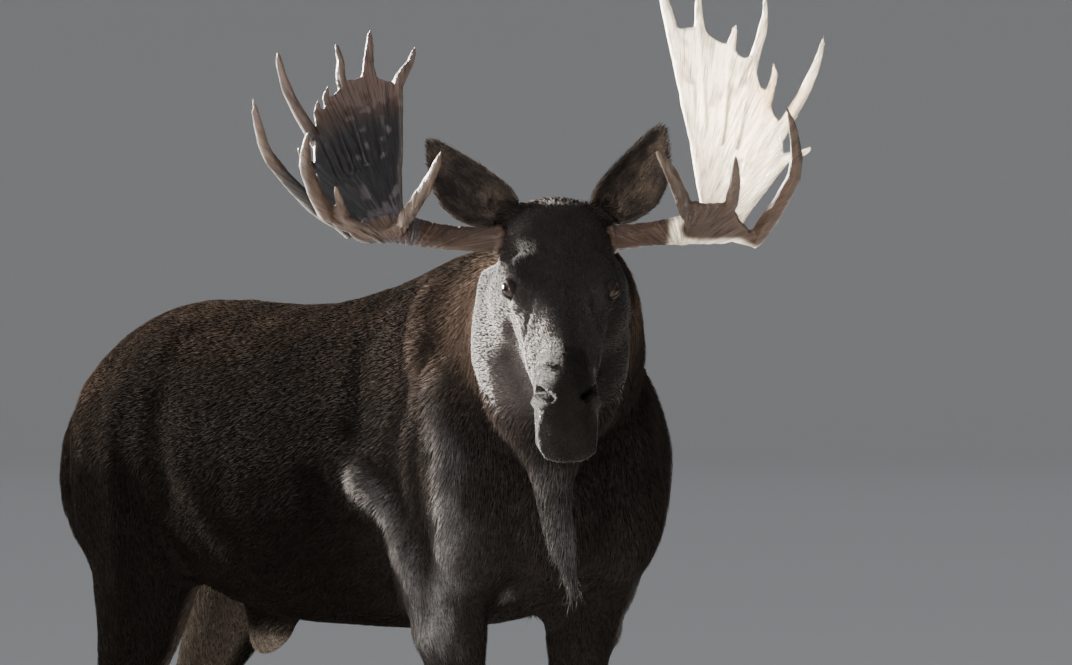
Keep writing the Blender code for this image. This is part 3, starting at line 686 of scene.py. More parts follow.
def lamp(name, left, away, up, size, power, colour, aim=CENTRE, spread=180):
    """A soft square lamp, given by how far left of, beyond and above its aim it stands."""
    light = bpy.data.lights.new(name, "AREA")
    light.shape, light.size = "SQUARE", size
    light.energy, light.color = power, colour
    light.spread = math.radians(spread)
    thing = in_scene(name, light)
    thing.location = aim + TO_LEFT * left + AWAY * away + UP * up
    thing.rotation_euler = (thing.location - aim).to_track_quat("Z", "Y").to_euler()
    thing.visible_camera = False


# Name, then left, away and up in metres, size, power in watts, colour, aim, spread in degrees.
lamp("key", 5.1, 5.4, 2.8, 1.4, 15000, (1.0, 0.95, 0.88))
lamp("cheek", 6.0, 2.9, 1.2, 0.5, 13, (1.0, 0.96, 0.90), CHEEK, 8)
lamp("palm", 2.4, -4.2, 3.0, 0.3, 3.4, (1.0, 0.90, 0.74), PALM, 6)
lamp("fill", 1.5, -8.0, 2.0, 5.0, 1500, (0.98, 0.98, 1.0))
lamp("top", -1.0, 0.5, 7.0, 4.0, 160, (1.0, 1.0, 1.0))
world = bpy.data.worlds.new("sky")
world.use_nodes = True
sky = world.node_tree.nodes["Background"]
sky.inputs["Color"].default_value = (0.80, 0.84, 0.90, 1)
sky.inputs["Strength"].default_value = 0.50
bpy.context.scene.world = world
print("five lamps")

# %% [markdown]
# ## Markings
#
# A moose is nearly black, with brown over the nape, withers and croup, and pale brownish
# stockings. Over that lies painted light: grey sheen painted on the cheeks and the sides of
# the muzzle, silver sheen painted on the edges of the shoulder and, with its greyish tips, on
# the bell, and painted shade that darkens the muzzle, the flanks and the left side of the nape
# and cheek. One function gives the colour at any place. The skin and every lock of the coat
# take it from there, so that they agree wherever the skin shows through.

# %% Noise and colour


def lattice(cell, seed):
    """A number from -1 to 1 for each whole-numbered cell."""
    x, y, z = cell.astype(np.int64).T
    mixed = (x * 73856093) ^ (y * 19349663) ^ (z * 83492791) ^ (seed * 2654435761)
    mixed = (mixed ^ (mixed >> 13)) * 1274126177
    return ((mixed & 0xFFFFFF) / 0x7FFFFF) - 1.0


def lumps(points, size, seed=0):
    """Smooth noise from -1 to 1 whose lumps measure about size."""
    place = points / size
    cell = np.floor(place)
    within = place - cell
    within = within * within * (3 - 2 * within)
    total = np.zeros(len(points))
    for corner in np.ndindex(2, 2, 2):
        weight = np.prod(np.where(corner, within, 1 - within), axis=1)
        total += weight * lattice(cell + corner, seed)
    return total


BLACK = np.array((0.0105, 0.0089, 0.0080))
FACE_BLACK = np.array((0.0125, 0.0104, 0.0094))
CHESTNUT = np.array((0.0290, 0.0195, 0.0135))
NECK_BROWN = np.array((0.0500, 0.0345, 0.0255))
# The grey is the ears' own grey hair, and painted sheen on the cheeks and the sides of the muzzle.
GREY_AND_SHEEN = np.array((0.0350, 0.0303, 0.0283))
# The silver is painted sheen: on the shoulder only that, on the bell together with its greyish
# tips.
SILVER_AND_SHEEN = np.array((0.1450, 0.1380, 0.1360))
# The muzzle's colour is brown painted darker than the coat, as painted shade.
MUZZLE_BROWN_AND_SHADE = np.array((0.0060, 0.0049, 0.0041))
STOCKING = np.array((0.1300, 0.1070, 0.0860))
EAR_FUZZ = np.array((0.0470, 0.0360, 0.0280))
# How far each marking, painted sheen and painted shade included, takes over from the colour under
# it.
FLANK_SHADE = 0.72
SHOULDER_SHEEN = 0.42
MUZZLE_SIDE_SHEEN = 0.60
INNER_THIGH = 0.11
SHEATH = 0.30
EAR_GREY = 0.12
# Painted shade: the left side keeps only these shares of the nape's brown and of the cheeks'
# painted sheen.
SHADED_LEFT_NAPE, SHADED_LEFT_CHEEK = 0.03, 0.40  # as shares of what the right side gets
# The upper cheek gets a smaller share of the painted cheek sheen.
UPPER_CHEEK_SHEEN = 0.35  # as a share of what the lower cheek gets


def toward(colour, other, amount):
    return colour + (other - colour) * np.clip(amount, 0, 1)[:, None]


def all_over(colour, points):
    """The same colour at each point."""
    return np.tile(colour, (len(points), 1))


def shoulder_sheen(points, normals):
    """Painted sheen: a silvery highlight painted on the raised edges of the shoulder and down the
    forearm.
    """
    paths = [("front", SHOULDER_FRONT, 0.028, 1, 2), ("back", SHOULDER_BACK, 0.030, 1, 2),
             ("forearm", SHOULDER_FRONT[2:], 0.040, 0.4, 2)]
    drawn_down = points * np.array((1, 1, 0.25))
    streak = 0.6 + 0.5 * lumps(drawn_down, 0.014, 4) + 0.3 * lumps(points, 0.05, 5)
    return flank_forms(points, normals, paths) * streak.clip(0)


def colours_and_painted_light(points, normals, share):
    """The coat's colour at each point, painted sheen and painted shade included."""
    trunk, neck, head, muzzle, bell, _, sheath, upper, lower, ear = share.T
    x, y, z = points.T
    out, along, up = in_head(points).T
    mottle = 0.5 * lumps(points, 0.09, 1) + 0.5 * lumps(points, 0.03, 2)
    body = trunk + neck
    flank = (body + upper) * ramp(y, -0.60, 0.10)
    withers = ramp(z, 1.40, 1.72) * body
    croup = ramp(y, 0.75, 1.10) * ramp(z, 1.20, 1.45) * trunk
    nape = body * ramp(-y, 0.12, 0.68) * ramp(z, 1.34, 1.66)
    # Painted shade: the left side of the nape keeps little of its brown.
    nape *= SHADED_LEFT_NAPE + (1 - SHADED_LEFT_NAPE) * ramp(MID - x, 0.00, 0.16)
    nape *= ramp(from_poll(points), 0.17, 0.27)
    # Painted sheen: grey painted over the lower cheeks and the flat of the nose, weaker near the
    # poll, and weaker on the left side as painted shade.
    lit_flat_of_nose = ramp(np.abs(out), 0.016, 0.045) * ramp(along, 0.24, 0.32)
    cheek = head * np.maximum(ramp(-up, -0.03, 0.06), lit_flat_of_nose)
    down_cheek = UPPER_CHEEK_SHEEN + (1 - UPPER_CHEEK_SHEEN) * ramp(along, 0.18, 0.32)
    to_right = SHADED_LEFT_CHEEK + (1 - SHADED_LEFT_CHEEK) * ramp(-out, -0.03, 0.03)
    cheek *= down_cheek * ramp(along, -0.06, 0.12) * to_right
    # Painted sheen: grey painted down the sides of the muzzle.
    lit_side_of_muzzle = ramp(np.abs(out), 0.040, 0.056) * muzzle * (1 - ramp(along, 0.60, 0.64))
    inner_thigh = ramp(-normals[:, 0] * np.sign(x - MID), 0.0, 0.5) * upper * ramp(y, 0.3, 0.6)
    stocking = (upper + lower) * (0.46 + 0.20 * mottle)
    inner_ear = ramp(normals @ np.array(GAZE), 0.30, 0.75) * ear
    ear_root = ramp(-from_poll(points), -0.20, -0.13)
    fuzz = 0.35 + 0.60 * lumps(points, 0.026, 3) + 0.45 * lumps(points, 0.009, 6)
    marks = (
        (FACE_BLACK, head + ear),
        (CHESTNUT, withers * (0.10 + 0.22 * mottle)),
        (CHESTNUT, croup * (0.24 + 0.28 * mottle)),
        (NECK_BROWN, nape * (0.80 + 0.25 * mottle)),
        # Grey painted sheen over the cheeks.
        (GREY_AND_SHEEN, cheek * (0.72 + 0.3 * mottle)),
        # Silver on the bell: its greyish tips, and painted sheen.
        (SILVER_AND_SHEEN, bell * (0.12 + 0.08 * mottle)),
        # Painted sheen on the raised edges of the shoulder and the forearm.
        (SILVER_AND_SHEEN, SHOULDER_SHEEN * shoulder_sheen(points, normals)),
        # The muzzle, painted darker as shade.
        (MUZZLE_BROWN_AND_SHADE, muzzle * (0.8 + 0.2 * mottle)),
        # Grey painted sheen on the sides of the muzzle.
        (GREY_AND_SHEEN, MUZZLE_SIDE_SHEEN * lit_side_of_muzzle),
        (STOCKING, inner_thigh * INNER_THIGH),
        (STOCKING, sheath * SHEATH),
        (STOCKING, stocking * ramp(-z + 0.06 * mottle, -0.80, -0.42)),
        (GREY_AND_SHEEN, ear * EAR_GREY),
        (EAR_FUZZ, inner_ear * (fuzz.clip(0) + 0.5 * ear_root)),
    )
    # Painted shade: the flanks are painted darker than the rest of the coat.
    colour = all_over(BLACK, points) * (1 - FLANK_SHADE * flank)[:, None]
    for other, amount in marks:
        colour = toward(colour, other, amount)
    return colour


# %% [markdown]
# ## The lie of the coat
#
# Hair points away from the nose: up the face, back along the neck and flank, and down the
# shoulder, the rump and the legs. For each part a direction is given, they are mixed by
# the shares above, and laid flat against the skin.

# %% Direction, length and thickness of the hair
# Length and width are in metres; the rise off the skin is a share of the length.
#         trunk   neck    head    muzzle  bell    tail    sheath  upper   lower   ear
LENGTH = (0.034, 0.042, 0.014, 0.007, 0.050, 0.046, 0.014, 0.026, 0.018, 0.016)
WIDTH = (0.0026, 0.0028, 0.0018, 0.0014, 0.0030, 0.0040, 0.0024, 0.0026, 0.0024, 0.0018)
RISE = (0.08, 0.15, 0.12, 0.11, 0.18, 0.18, 0.14, 0.09, 0.10, 0.16)


def round_antler(points):
    """1 where an antler leaves the head, 0 a hand's breadth away."""
    place = in_head(points)
    place = place * np.where(place[:, :1] < 0, (-1, 1, 1), 1)
    root = np.array(POCKETS[0][:3]) + np.array((0.03, 0, 0))
    return 1 - ramp(lengths(place - root), 0.03, 0.065)


def comb(points, normals, share):
    """The unit direction in which the hair lies at each point."""
    x, y, z = points.T
    outwards = np.sign(x - MID)
    out, _, up = in_head(points).T
    lower = ramp(1.45 - z, 0, 0.5)
    rump = ramp(y, 0.85, 1.12)
    shoulder = ramp(-y, 0.05, 0.35)
    zero = np.zeros_like(x)
    sink = -0.25 - 0.35 * lower - rump - 0.7 * shoulder * lower
    back = np.stack([zero, 1 - 0.75 * rump - 0.5 * shoulder, sink], 1)
    toward_body = np.array((MID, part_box("trunk")[0][1] + 0.3, 1.45)) - np.array(POLL)
    toward_body /= np.linalg.norm(toward_body)
    throat = ramp(1.50 - z, 0, 0.25)
    neck = toward_body + np.stack([0.10 * outwards, zero, -0.45 - 1.1 * throat], 1)
    face = -HEAD_AXES[1] - np.outer(0.55 * ramp(-up, -0.02, 0.08), HEAD_AXES[2])
    face = face + np.outer(np.sign(out) * 0.25, HEAD_AXES[0])
    down = np.tile((0.0, 0.10, -1.0), (len(points), 1))
    ear = np.array(UP) * 0.8 + np.outer(0.75 * np.sign(out), (OUT.x, OUT.y, 0))
    nose = -0.5 * HEAD_AXES[1] - HEAD_AXES[2] + np.outer(np.sign(out) * 0.3, HEAD_AXES[0])
    ways = (back, neck, face, nose, *[down] * 5, ear)  # in the order of PARTS
    way = sum(share[:, i : i + 1] * direction for i, direction in enumerate(ways))
    for size, strength, seed in ((0.090, 0.24, 11), (0.030, 0.20, 14)):
        sway = [lumps(points, size, seed + axis) for axis in range(3)]
        way = way + strength * np.stack(sway, 1)
    way += np.outer(2.0 * np.sign(out) * round_antler(points), HEAD_AXES[0])
    way -= normals * (way * normals).sum(1)[:, None]
    return unit(way)


# %% [markdown]
# ## Growing locks
#
# A lock is a thin closed solid: a point under the skin, one or more rings of three
# corners, and a point at its tip. Its roots are spread over the skin's triangles in
# proportion to their area and to how dense the coat is there.

# %% Roots


def unwrapped(thing, triangles):
    """A plain copy of the thing with few triangles and a flat map of its shape."""
    plain = in_scene("plain", thing.data.copy())
    fewer = plain.modifiers.new("fewer", "DECIMATE")
    fewer.ratio = triangles / len(triangles_of(plain))
    fewer.use_collapse_triangulate = True
    apply_modifiers(plain)
    bpy.context.view_layer.objects.active = plain
    plain.select_set(True)
    bpy.ops.object.mode_set(mode="EDIT")
    bpy.ops.mesh.select_all(action="SELECT")
    bpy.ops.uv.smart_project(angle_limit=math.radians(60), island_margin=0.004)
    bpy.ops.object.mode_set(mode="OBJECT")
    uv = rows_of(plain.data.uv_layers[0].data, "uv", 2).reshape(-1, 3, 2)
    corners = points_of(plain)[triangles_of(plain)]
    tree = bvhtree.BVHTree.FromObject(plain, bpy.context.evaluated_depsgraph_get())
    bpy.data.objects.remove(plain)
    return tree, corners, uv


def flat_places(flat_map, points):
    """Where each point falls on the flat map."""
    tree, corners, uv = flat_map
    hits = [tree.find_nearest(Vector(point)) for point in points]
    face = np.array([hit[2] for hit in hits])
    place = np.array([hit[0] for hit in hits])
    a, b, c = corners[face].transpose(1, 0, 2)
    ab, ac, ap = b - a, c - a, place - a
    bb, bc, cc = (ab * ab).sum(1), (ab * ac).sum(1), (ac * ac).sum(1)
    pb, pc = (ap * ab).sum(1), (ap * ac).sum(1)
    scale = (bb * cc - bc * bc).clip(1e-16)
    v, w = (cc * pb - bc * pc) / scale, (bb * pc - bc * pb) / scale
    weights = np.stack([1 - v - w, v, w], 1).clip(0, 1)
    return (uv[face] * weights[:, :, None]).sum(1)


def scatter(points, triangles, density, count, seed):
    """Evenly spread roots: the triangle of each, and its place in it as three weights."""
    chance = np.random.default_rng(seed)
    a, b, c = points[triangles].transpose(1, 0, 2)
    area = lengths(np.cross(b - a, c - a)) / 2
    stock = np.cumsum(area * density[triangles].mean(1))
    wanted = (np.arange(count) + chance.random(count)) * stock[-1] / count
    chosen = np.searchsorted(stock, wanted).clip(0, len(triangles) - 1)
    u, v = chance.random(count), chance.random(count)
    over = u + v > 1
    u[over], v[over] = 1 - u[over], 1 - v[over]
    return chosen, np.stack([1 - u - v, u, v], 1)


print("coat helpers ready")

# %% Locks
PATCH = 0.0015  # half the size of a lock's patch on the flat map
SUNK = 0.0015  # how far a root lies under the skin
TWIST = 0.13  # how far locks stray from the coat's lie, in radians
ROOT_TONE, TIP_TONE = 0.55, 1.35  # how dark a lock is at its root and how light at its tip
BARE = {"nostril": 0.015, "mouth": 0.009}  # how wide the bare strip along these forms is


def make_locks(name, root, normal, way, length, width, rise, colour, flat, rings, seed):
    """All the locks of one piece of the coat as one mesh."""
    chance = np.random.default_rng(seed)
    count = len(root)
    side = np.cross(normal, way)
    turn = chance.normal(0, TWIST, count)[:, None]
    way = way * np.cos(turn) + side * np.sin(turn)
    side = np.cross(normal, way)
    length = length * chance.uniform(0.65, 1.25, count)
    width = width * chance.uniform(0.7, 1.2, count)
    lift = length * rise * chance.uniform(0.55, 1.35, count)
    rows, spots, tones = [root - normal * SUNK], [(0.0, -1.0)], [ROOT_TONE]
    for ring in range(rings):
        t = 0.40 if rings == 1 else (ring + 1) / (rings + 1)
        centre = root + way * (length * t)[:, None] + normal * (lift * math.sin(t * 2.0))[:, None]
        half = (width / 2 * (1 - 0.55 * t))[:, None]
        rows += [centre - side * half, centre + normal * half * 0.4, centre + side * half]
        spots += [(-1.0, t - 0.3), (0.0, t - 0.1), (1.0, t - 0.3)]
        tones += [0.75 + 0.35 * t] * 3
    tip = root + way * length[:, None] + normal * (lift * math.sin(2.0))[:, None]
    rows.append(tip)
    spots.append((0.0, 1.0))
    tones.append(TIP_TONE)
    corners = np.stack(rows, 1)
    per = corners.shape[1]
    faces = [(0, 2, 1), (0, 3, 2), (0, 1, 3)]
    for ring in range(rings - 1):
        low, high = 1 + 3 * ring, 4 + 3 * ring
        for i in range(3):
            j = (i + 1) % 3
            faces += [(low + i, low + j, high + j), (low + i, high + j, high + i)]
    last = 1 + 3 * (rings - 1)
    faces += [(last, last + 1, per - 1), (last + 1, last + 2, per - 1), (last + 2, last, per - 1)]
    faces = np.array(faces)
    all_faces = (np.arange(count)[:, None, None] * per + faces).reshape(-1, 3)
    piece = make_object(name, corners.reshape(-1, 3), all_faces)
    tint = colour[:, None, :] * np.array(tones)[None, :, None]
    tuft = 1 + 0.22 * lumps(root, 0.018, 41) + 0.16 * lumps(root, 0.008, 42)
    tint = tint * (chance.uniform(0.70, 1.30, count) * tuft)[:, None, None]
    paint(piece, tint.reshape(-1, 3))
    uv = flat[:, None, :] + np.array(spots)[None] * PATCH
    layer = piece.data.uv_layers.new(name="OFBake")
    layer.data.foreach_set("uv", uv.reshape(-1, 2)[all_faces.ravel()].astype(np.float32).ravel())
    return piece


def paint(thing, colours):
    """Stores a colour for each point, for its material to read."""
    layer = thing.data.color_attributes.new("tint", "FLOAT_COLOR", "POINT")
    full = np.ones((len(colours), 4), np.float32)
    full[:, :3] = colours
    layer.data.foreach_set("color", full.ravel())


points, edges, triangles = points_of(skin), edges_of(skin), triangles_of(skin)
normals = normals_of(skin)
share = shares(points, edges, 6)
share[body_points:] = np.eye(len(PARTS))[PARTS.index("ear")]
colour = colours_and_painted_light(points, normals, share)
body_edges = edges[edges.max(1) < body_points]
combed = np.vstack([blurred(share[:body_points], body_edges, 10), share[body_points:]])
way = comb(points, normals, combed)
# No hair grows in the nostrils, on the lips' edges or over the eyes: haired is 0 there.
face_place = in_head(points)
face_place[:, 0] = np.abs(face_place[:, 0])
haired = np.ones(len(points))
for name, path, *_ in FACE_FORMS:
    if name in BARE:
        haired *= ramp(distance_to(face_place, path), BARE[name] * 0.7, BARE[name])
eye_gap = np.min([lengths(points - np.array(eye)) for eye in eyes.values()], axis=0)
haired *= ramp(eye_gap, EYE_RADIUS * 1.04, EYE_RADIUS * 1.16)
colour = toward(colour, BLACK * 0.5, 1 - haired)
paint(skin, colour * 0.8)
flat_map = unwrapped(skin, 9000)
length, width, rise = (share @ np.array(values) for values in (LENGTH, WIDTH, RISE))
clear_of_eye = 0.3 + 0.7 * ramp(eye_gap, EYE_RADIUS, EYE_RADIUS * 2.4)
length = length * (1 + 0.8 * round_antler(points)) * clear_of_eye
# Longer hair hangs over the top of the hooves and the roots of the dewclaws.
coronet = part(share, "lower") * ramp(-points[:, 2], -0.165, -0.110)
length = length * (1 + 1.1 * coronet)
rise = rise + 0.12 * coronet
print("skin painted; flat map of", len(flat_map[1]), "triangles")

# %% The coat, piece by piece


def region(*parts, side=0, y_from=-np.inf, y_to=np.inf):
    """A weight of 1 at points of these parts, on one side and between two places along Y."""
    mask = part(share, *parts)
    if side:
        mask = mask * ((points[:, 0] - MID) * side > 0)
    return mask * (points[:, 1] > y_from) * (points[:, 1] <= y_to)


def at_roots(values, corners, weights):
    """Values at the roots, mixed from those at the corners of their triangles."""
    return (values[corners] * weights.reshape(len(weights), 3, *[1] * (values.ndim - 1))).sum(1)


HEAD_LEFT = in_head(points)[:, 0] > 0
SPLIT = 0.30  # the trunk's coat is in a front and a back half
COAT = (
    # name, where it grows, number of locks, rings
    ("coat_front_left", region("trunk", side=1, y_to=SPLIT), 26000, 1),
    ("coat_front_right", region("trunk", side=-1, y_to=SPLIT), 26000, 1),
    ("coat_back_left", region("trunk", "tail", side=1, y_from=SPLIT), 27000, 1),
    ("coat_back_right", region("trunk", "tail", side=-1, y_from=SPLIT), 27000, 1),
    ("coat_neck", region("neck"), 32000, 1),
    ("coat_face_left", region("head", "muzzle") * HEAD_LEFT, 24000, 1),
    ("coat_face_right", region("head", "muzzle") * ~HEAD_LEFT, 24000, 1),
    ("coat_upper_legs", region("upper", "sheath"), 28000, 1),
    ("coat_lower_legs", region("lower"), 17000, 1),
    ("coat_ears", region("ear"), 12000, 1),
    ("coat_bell", region("bell"), 4000, 2),
)
density = haired / (length * width)
coat = []
for seed, (name, where, count, rings) in enumerate(COAT):
    chosen, weights = scatter(points, triangles, density * where, count, seed)
    root, normal, lie, *rest = (
        at_roots(values, triangles[chosen], weights)
        for values in (points, normals, way, length, width, rise, colour)
    )
    flat = flat_places(flat_map, root)
    coat.append(make_locks(name, root, unit(normal), unit(lie), *rest, flat, rings, seed + 100))
print(len(coat), "pieces of coat,", sum(len(piece.data.polygons) for piece in coat), "triangles")

# %% [markdown]
# ## Eyes
#
# Each eyeball is a ball with a slightly raised, glossy cornea, a dark brown iris and a
# pupil that lies level. The lids are a ring around it with an almond opening: a rolled
# dark rim over the ball, and an outer edge that runs down under the fur.

# %% Eyeballs and lids
IRIS, PUPIL_LONG, PUPIL_HIGH = 0.62, 0.36, 0.20  # radians from the middle of the cornea
EYE_WHITE = np.array((0.022, 0.014, 0.010))
IRIS_BROWN = np.array((0.012, 0.006, 0.003))
PUPIL_BLACK = np.array((0.002, 0.002, 0.003))
LID_BLACK = np.array((0.006, 0.005, 0.0045))
# Rows around the lids: how far from the eye's middle, in its radii, and how far beyond
# the opening's edge, in radians.
LID_ROWS = ((0.94, 0.06), (0.985, -0.01), (1.025, 0.00), (1.055, 0.05), (1.075, 0.13),
            (1.085, 0.26), (1.080, 0.44), (1.045, 0.66), (0.950, 0.86), (0.86, 0.60))


def at_eye(name, side, local, faces):
    """A piece whose points are given along the eye's own axes, from its middle."""
    return make_object(name, local @ eye_axes(side) + np.array(eyes[side]), faces)


def make_eyeball(side, name):
    around, rings = 48, 40
    polar = np.linspace(0.004, math.pi - 0.004, rings)[:, None]
    turn = np.linspace(0, 2 * math.pi, around, endpoint=False)[None]
    bulge = 1 + 0.035 * np.exp(-((polar / IRIS) ** 4))
    ahead = np.cos(polar) + 0 * turn
    nose, above = np.sin(polar) * np.cos(turn), np.sin(polar) * np.sin(turn)
    local = np.stack([ahead * bulge, nose, above], -1).reshape(-1, 3) * EYE_RADIUS
    eyeball = at_eye(name, side, local, rings_to_faces(rings, around, False))
    angle = (polar + 0 * turn).ravel()
    level, upright = (polar * np.cos(turn)).ravel(), (polar * np.sin(turn)).ravel()
    spokes = 0.75 + 0.5 * (np.sin(turn * 23) * np.sin(turn * 9) + 0 * polar).ravel()
    tint = EYE_WHITE * (1 - ramp(angle, 0.5, 1.0))[:, None]
    iris = 1 - ramp(angle, IRIS - 0.05, IRIS + 0.05)
    tint = toward(tint, IRIS_BROWN, iris)
    tint = tint * (1 + 0.3 * (spokes - 0.75) * iris)[:, None]
    pupil = (level / PUPIL_LONG) ** 2 + (upright / PUPIL_HIGH) ** 2
    tint = toward(tint, PUPIL_BLACK, 1 - ramp(pupil, 0.85, 1.2))
    paint(eyeball, tint)
    return eyeball


def make_lids(side, name):
    around = 72
    turn = np.linspace(0, 2 * math.pi, around, endpoint=False)
    level, upright = np.cos(turn), np.sin(turn)
    wide = np.where(level > 0, 0.96, 0.86)
    high = np.where(upright > 0, 0.44, 0.34)
    opening = 1 / np.sqrt((level / wide) ** 2 + (upright / high) ** 2)
    opening = opening + 0.10 * np.exp(-((level - 1) / 0.05) ** 2)  # the tear corner
    rows = []
    for away, beyond in LID_ROWS:
        heavy = 1 + 0.035 * np.clip(upright, 0, 1) * (away > 1)
        angle = opening + beyond * (1.15 - 0.25 * np.abs(level))
        radius = EYE_RADIUS * away * heavy
        sine = radius * np.sin(angle)
        rows.append(np.stack([radius * np.cos(angle), sine * level, sine * upright], -1))
    local = np.concatenate(rows)
    lids = at_eye(name, side, local, rings_to_faces(len(LID_ROWS), around, True))
    paint(lids, all_over(LID_BLACK, local))
    return lids


eyeballs = {name: make_eyeball(side, f"eyeball_{name}") for side, name in SIDES}
lids = [make_lids(side, f"lids_{name}") for side, name in SIDES]
print("two eyes with lids of", len(lids[0].data.polygons), "quads each")

# %% [markdown]
# ## Antlers
#
# Beam, brow fan and palm of each side become one piece of bone. Fine ridges and grooves
# run from the beam out along every tine, so their place on the antler is told in polar
# terms about the beam's end: how far round the fan, and how far out along it. The same
# terms steer the streaks of colour. Tips and edges are worn smooth and pale.

# %% Bone
ANTLER_VOXEL = 0.0036
FAN_MIDDLE = {1: (0.255, -0.030), -1: (0.300, -0.030)}  # out and up from the poll
FAN_ARM = 0.30  # turns an angle round the fan into metres
CREAM = np.array((0.800, 0.695, 0.540))
STAIN = np.array((0.400, 0.260, 0.120))
BARK = np.array((0.042, 0.0228, 0.0128))
DARK_BARK = np.array((0.0165, 0.0095, 0.0068))
# The right palm's charcoal is a dark stain, and painted shade as well.
CHARCOAL_AND_SHADE = np.array((0.0056, 0.0048, 0.0052))
MAUVE = np.array((0.032, 0.026, 0.028))
TIP = np.array((0.450, 0.380, 0.290))


def fan_terms(points, side):
    """How far round and out along the fan and how far forward, then out and up from the poll."""
    away = points - np.array(POLL)
    out, up = away @ np.array(OUT) * side, away[:, 2]
    forward = away @ np.array(GAZE)
    across, above = out - FAN_MIDDLE[side][0], up - FAN_MIDDLE[side][1]
    angle = np.arctan2(above, across)
    return np.stack([angle * FAN_ARM, np.hypot(across, above), forward], 1), out, up


def streaks(terms, fine, long, seed):
    """Noise drawn out along the fan's spokes."""
    return lumps(terms / np.array((fine, long, fine * 2)), 1.0, seed)


def gaps_to(points, names):
    """How far each point is from each of the named nodes."""
    trees = []
    for name in names:
        shape = bmesh.new()
        shape.from_mesh(nodes[name].data)
        trees.append(bvhtree.BVHTree.FromBMesh(shape))
        shape.free()
    return np.array([[tree.find_nearest(Vector(point))[3] for tree in trees] for point in points])


def blunted(points, edges):
    """Rounds off the needles at the tips. Also tells how sharply the bone turns at each point."""
    soft = points
    for _ in range(30):
        soft = mean_of_neighbours(soft, edges)
    bulk = lengths(points - soft)
    needle = ramp(bulk, 0.006, 0.012)[:, None]
    for _ in range(6):
        points = points + needle * (mean_of_neighbours(points, edges) - points) * 0.7
    return points, bulk


def slim_root(points, side):
    """Draws the end of the beam in towards its middle, where it sinks into the coat."""
    _, out, _ = fan_terms(points, side)
    neck = (out > 0.125) & (out < 0.145)
    start = points[neck].mean(0)
    reach = lengths(points[neck] - start).mean()
    across = (points - start) - np.outer((points - start) @ np.array(OUT), OUT)
    size = lengths(across)
    wanted = np.minimum(size, reach * 0.98)
    pull = (1 - ramp(out, 0.105, 0.135)) * (1 - wanted / size.clip(1e-6))
    pull += 0.30 * (1 - ramp(out, 0.095, 0.120))
    return points - across * pull[:, None]


def make_antler(side, name):
    names = [f"antler_{name}_{piece}" for piece in ("beam", "brow", "palm")]
    bone = remeshed(f"bone_{name}", [nodes[piece] for piece in names], ANTLER_VOXEL, 0.0008)
    points, edges = points_of(bone), edges_of(bone)
    points = even_out(points, edges, 14)
    points, bulk = blunted(points, edges)
    points = slim_root(points, side)
    set_points(bone, points)
    normals = normals_of(bone)
    worn = blurred(ramp(bulk, 0.0028, 0.0075), edges, 3)
    terms, out, up = fan_terms(points, side)
    reach = terms[:, 1]
    worn *= ramp(out, 0.13, 0.20)
    to_beam, to_brow, to_palm = gaps_to(points, names).T
    brow = blurred((to_brow < to_palm).astype(float), edges, 8)
    beam = blurred((to_beam < np.minimum(to_brow, to_palm)).astype(float), edges, 8)
    ridges = 0.55 * streaks(terms, 0.014, 0.16, 21) + 0.45 * streaks(terms, 0.0065, 0.10, 22)
    base = np.exp(-((reach - 0.10) / 0.05).clip(0) ** 2)
    burr = np.exp(-((out - 0.108) / 0.014) ** 2) * beam
    knobs = burr * lumps(points, 0.012, 24)
    height = 0.0013 * ridges * (1 - 0.6 * worn) * (1 + 1.2 * base) + 0.0045 * burr + 0.004 * knobs
    height -= 0.0010 * np.clip(streaks(terms, 0.020, 0.5, 23) - 0.35, 0, 1) * (1 - worn)
    set_points(bone, points + normals * height[:, None])
    streak = 0.5 + 0.5 * streaks(terms, 0.010, 0.14, 25)
    cloud = 0.5 + 0.5 * (0.6 * lumps(points, 0.060, 26) + 0.4 * lumps(points, 0.022, 27))
    front = (normals @ np.array(GAZE)) > 0
    palm = 1 - np.clip(brow + beam, 0, 1)
    darker = 0.75 * streak * cloud + 0.45 * beam + 0.40 * brow
    bark = toward(all_over(BARK, points), DARK_BARK, darker)
    if side > 0:  # a cream palm with a brown stain
        spot = np.exp(-(((out - 0.47) / 0.05) ** 2 + ((up - 0.30) / 0.045) ** 2))
        face = toward(all_over(CREAM, points), STAIN, 0.9 * spot + 0.22 * streak * cloud)
        face = toward(face, BARK, 0.55 * base * streak + 0.35 * (1 - front))
        face = toward(face, BARK, 0.95 * np.clip(-ridges - 0.12, 0, 1))
    else:  # a charcoal palm with a rough mauve rim
        # The right palm is painted dark: a dark stain, and painted shade as well.
        core = reach - 0.08 + 0.16 * (cloud - 0.5) + 0.10 * (streak - 0.5)
        core = ramp(core, 0.010, 0.030) * (1 - ramp(core, 0.265, 0.290))
        rough = ramp(lumps(points, 0.020, 28) + 1.1 * (streak - 0.5), -0.90, -0.45)
        face = toward(all_over(MAUVE, points), CHARCOAL_AND_SHADE, core * rough)
        face = toward(face, BARK, 0.6 * ramp(reach, 0.27, 0.36))
    colour = bark + (face - bark) * palm[:, None]
    paleness = 0.07 + 0.63 * palm if side > 0 else 0.08
    colour = toward(colour, TIP, worn * paleness)
    colour *= (0.85 + 0.30 * (0.5 + 0.5 * ridges))[:, None]
    paint(bone, colour)
    layer = bone.data.attributes.new("grain", "FLOAT_VECTOR", "POINT")
    layer.data.foreach_set("vector", terms.astype(np.float32).ravel())
    return bone, names


bones = {name: make_antler(side, name) for side, name in SIDES}
print("antlers of", [len(bone.data.polygons) for bone, _ in bones.values()], "quads")

# %% [markdown]
# ## Hooves and dewclaws
#
# Horn grows down from the coronet in faint rings. The remeshed claws are smoothed, ringed,
# and kept flat where they stand on the floor.

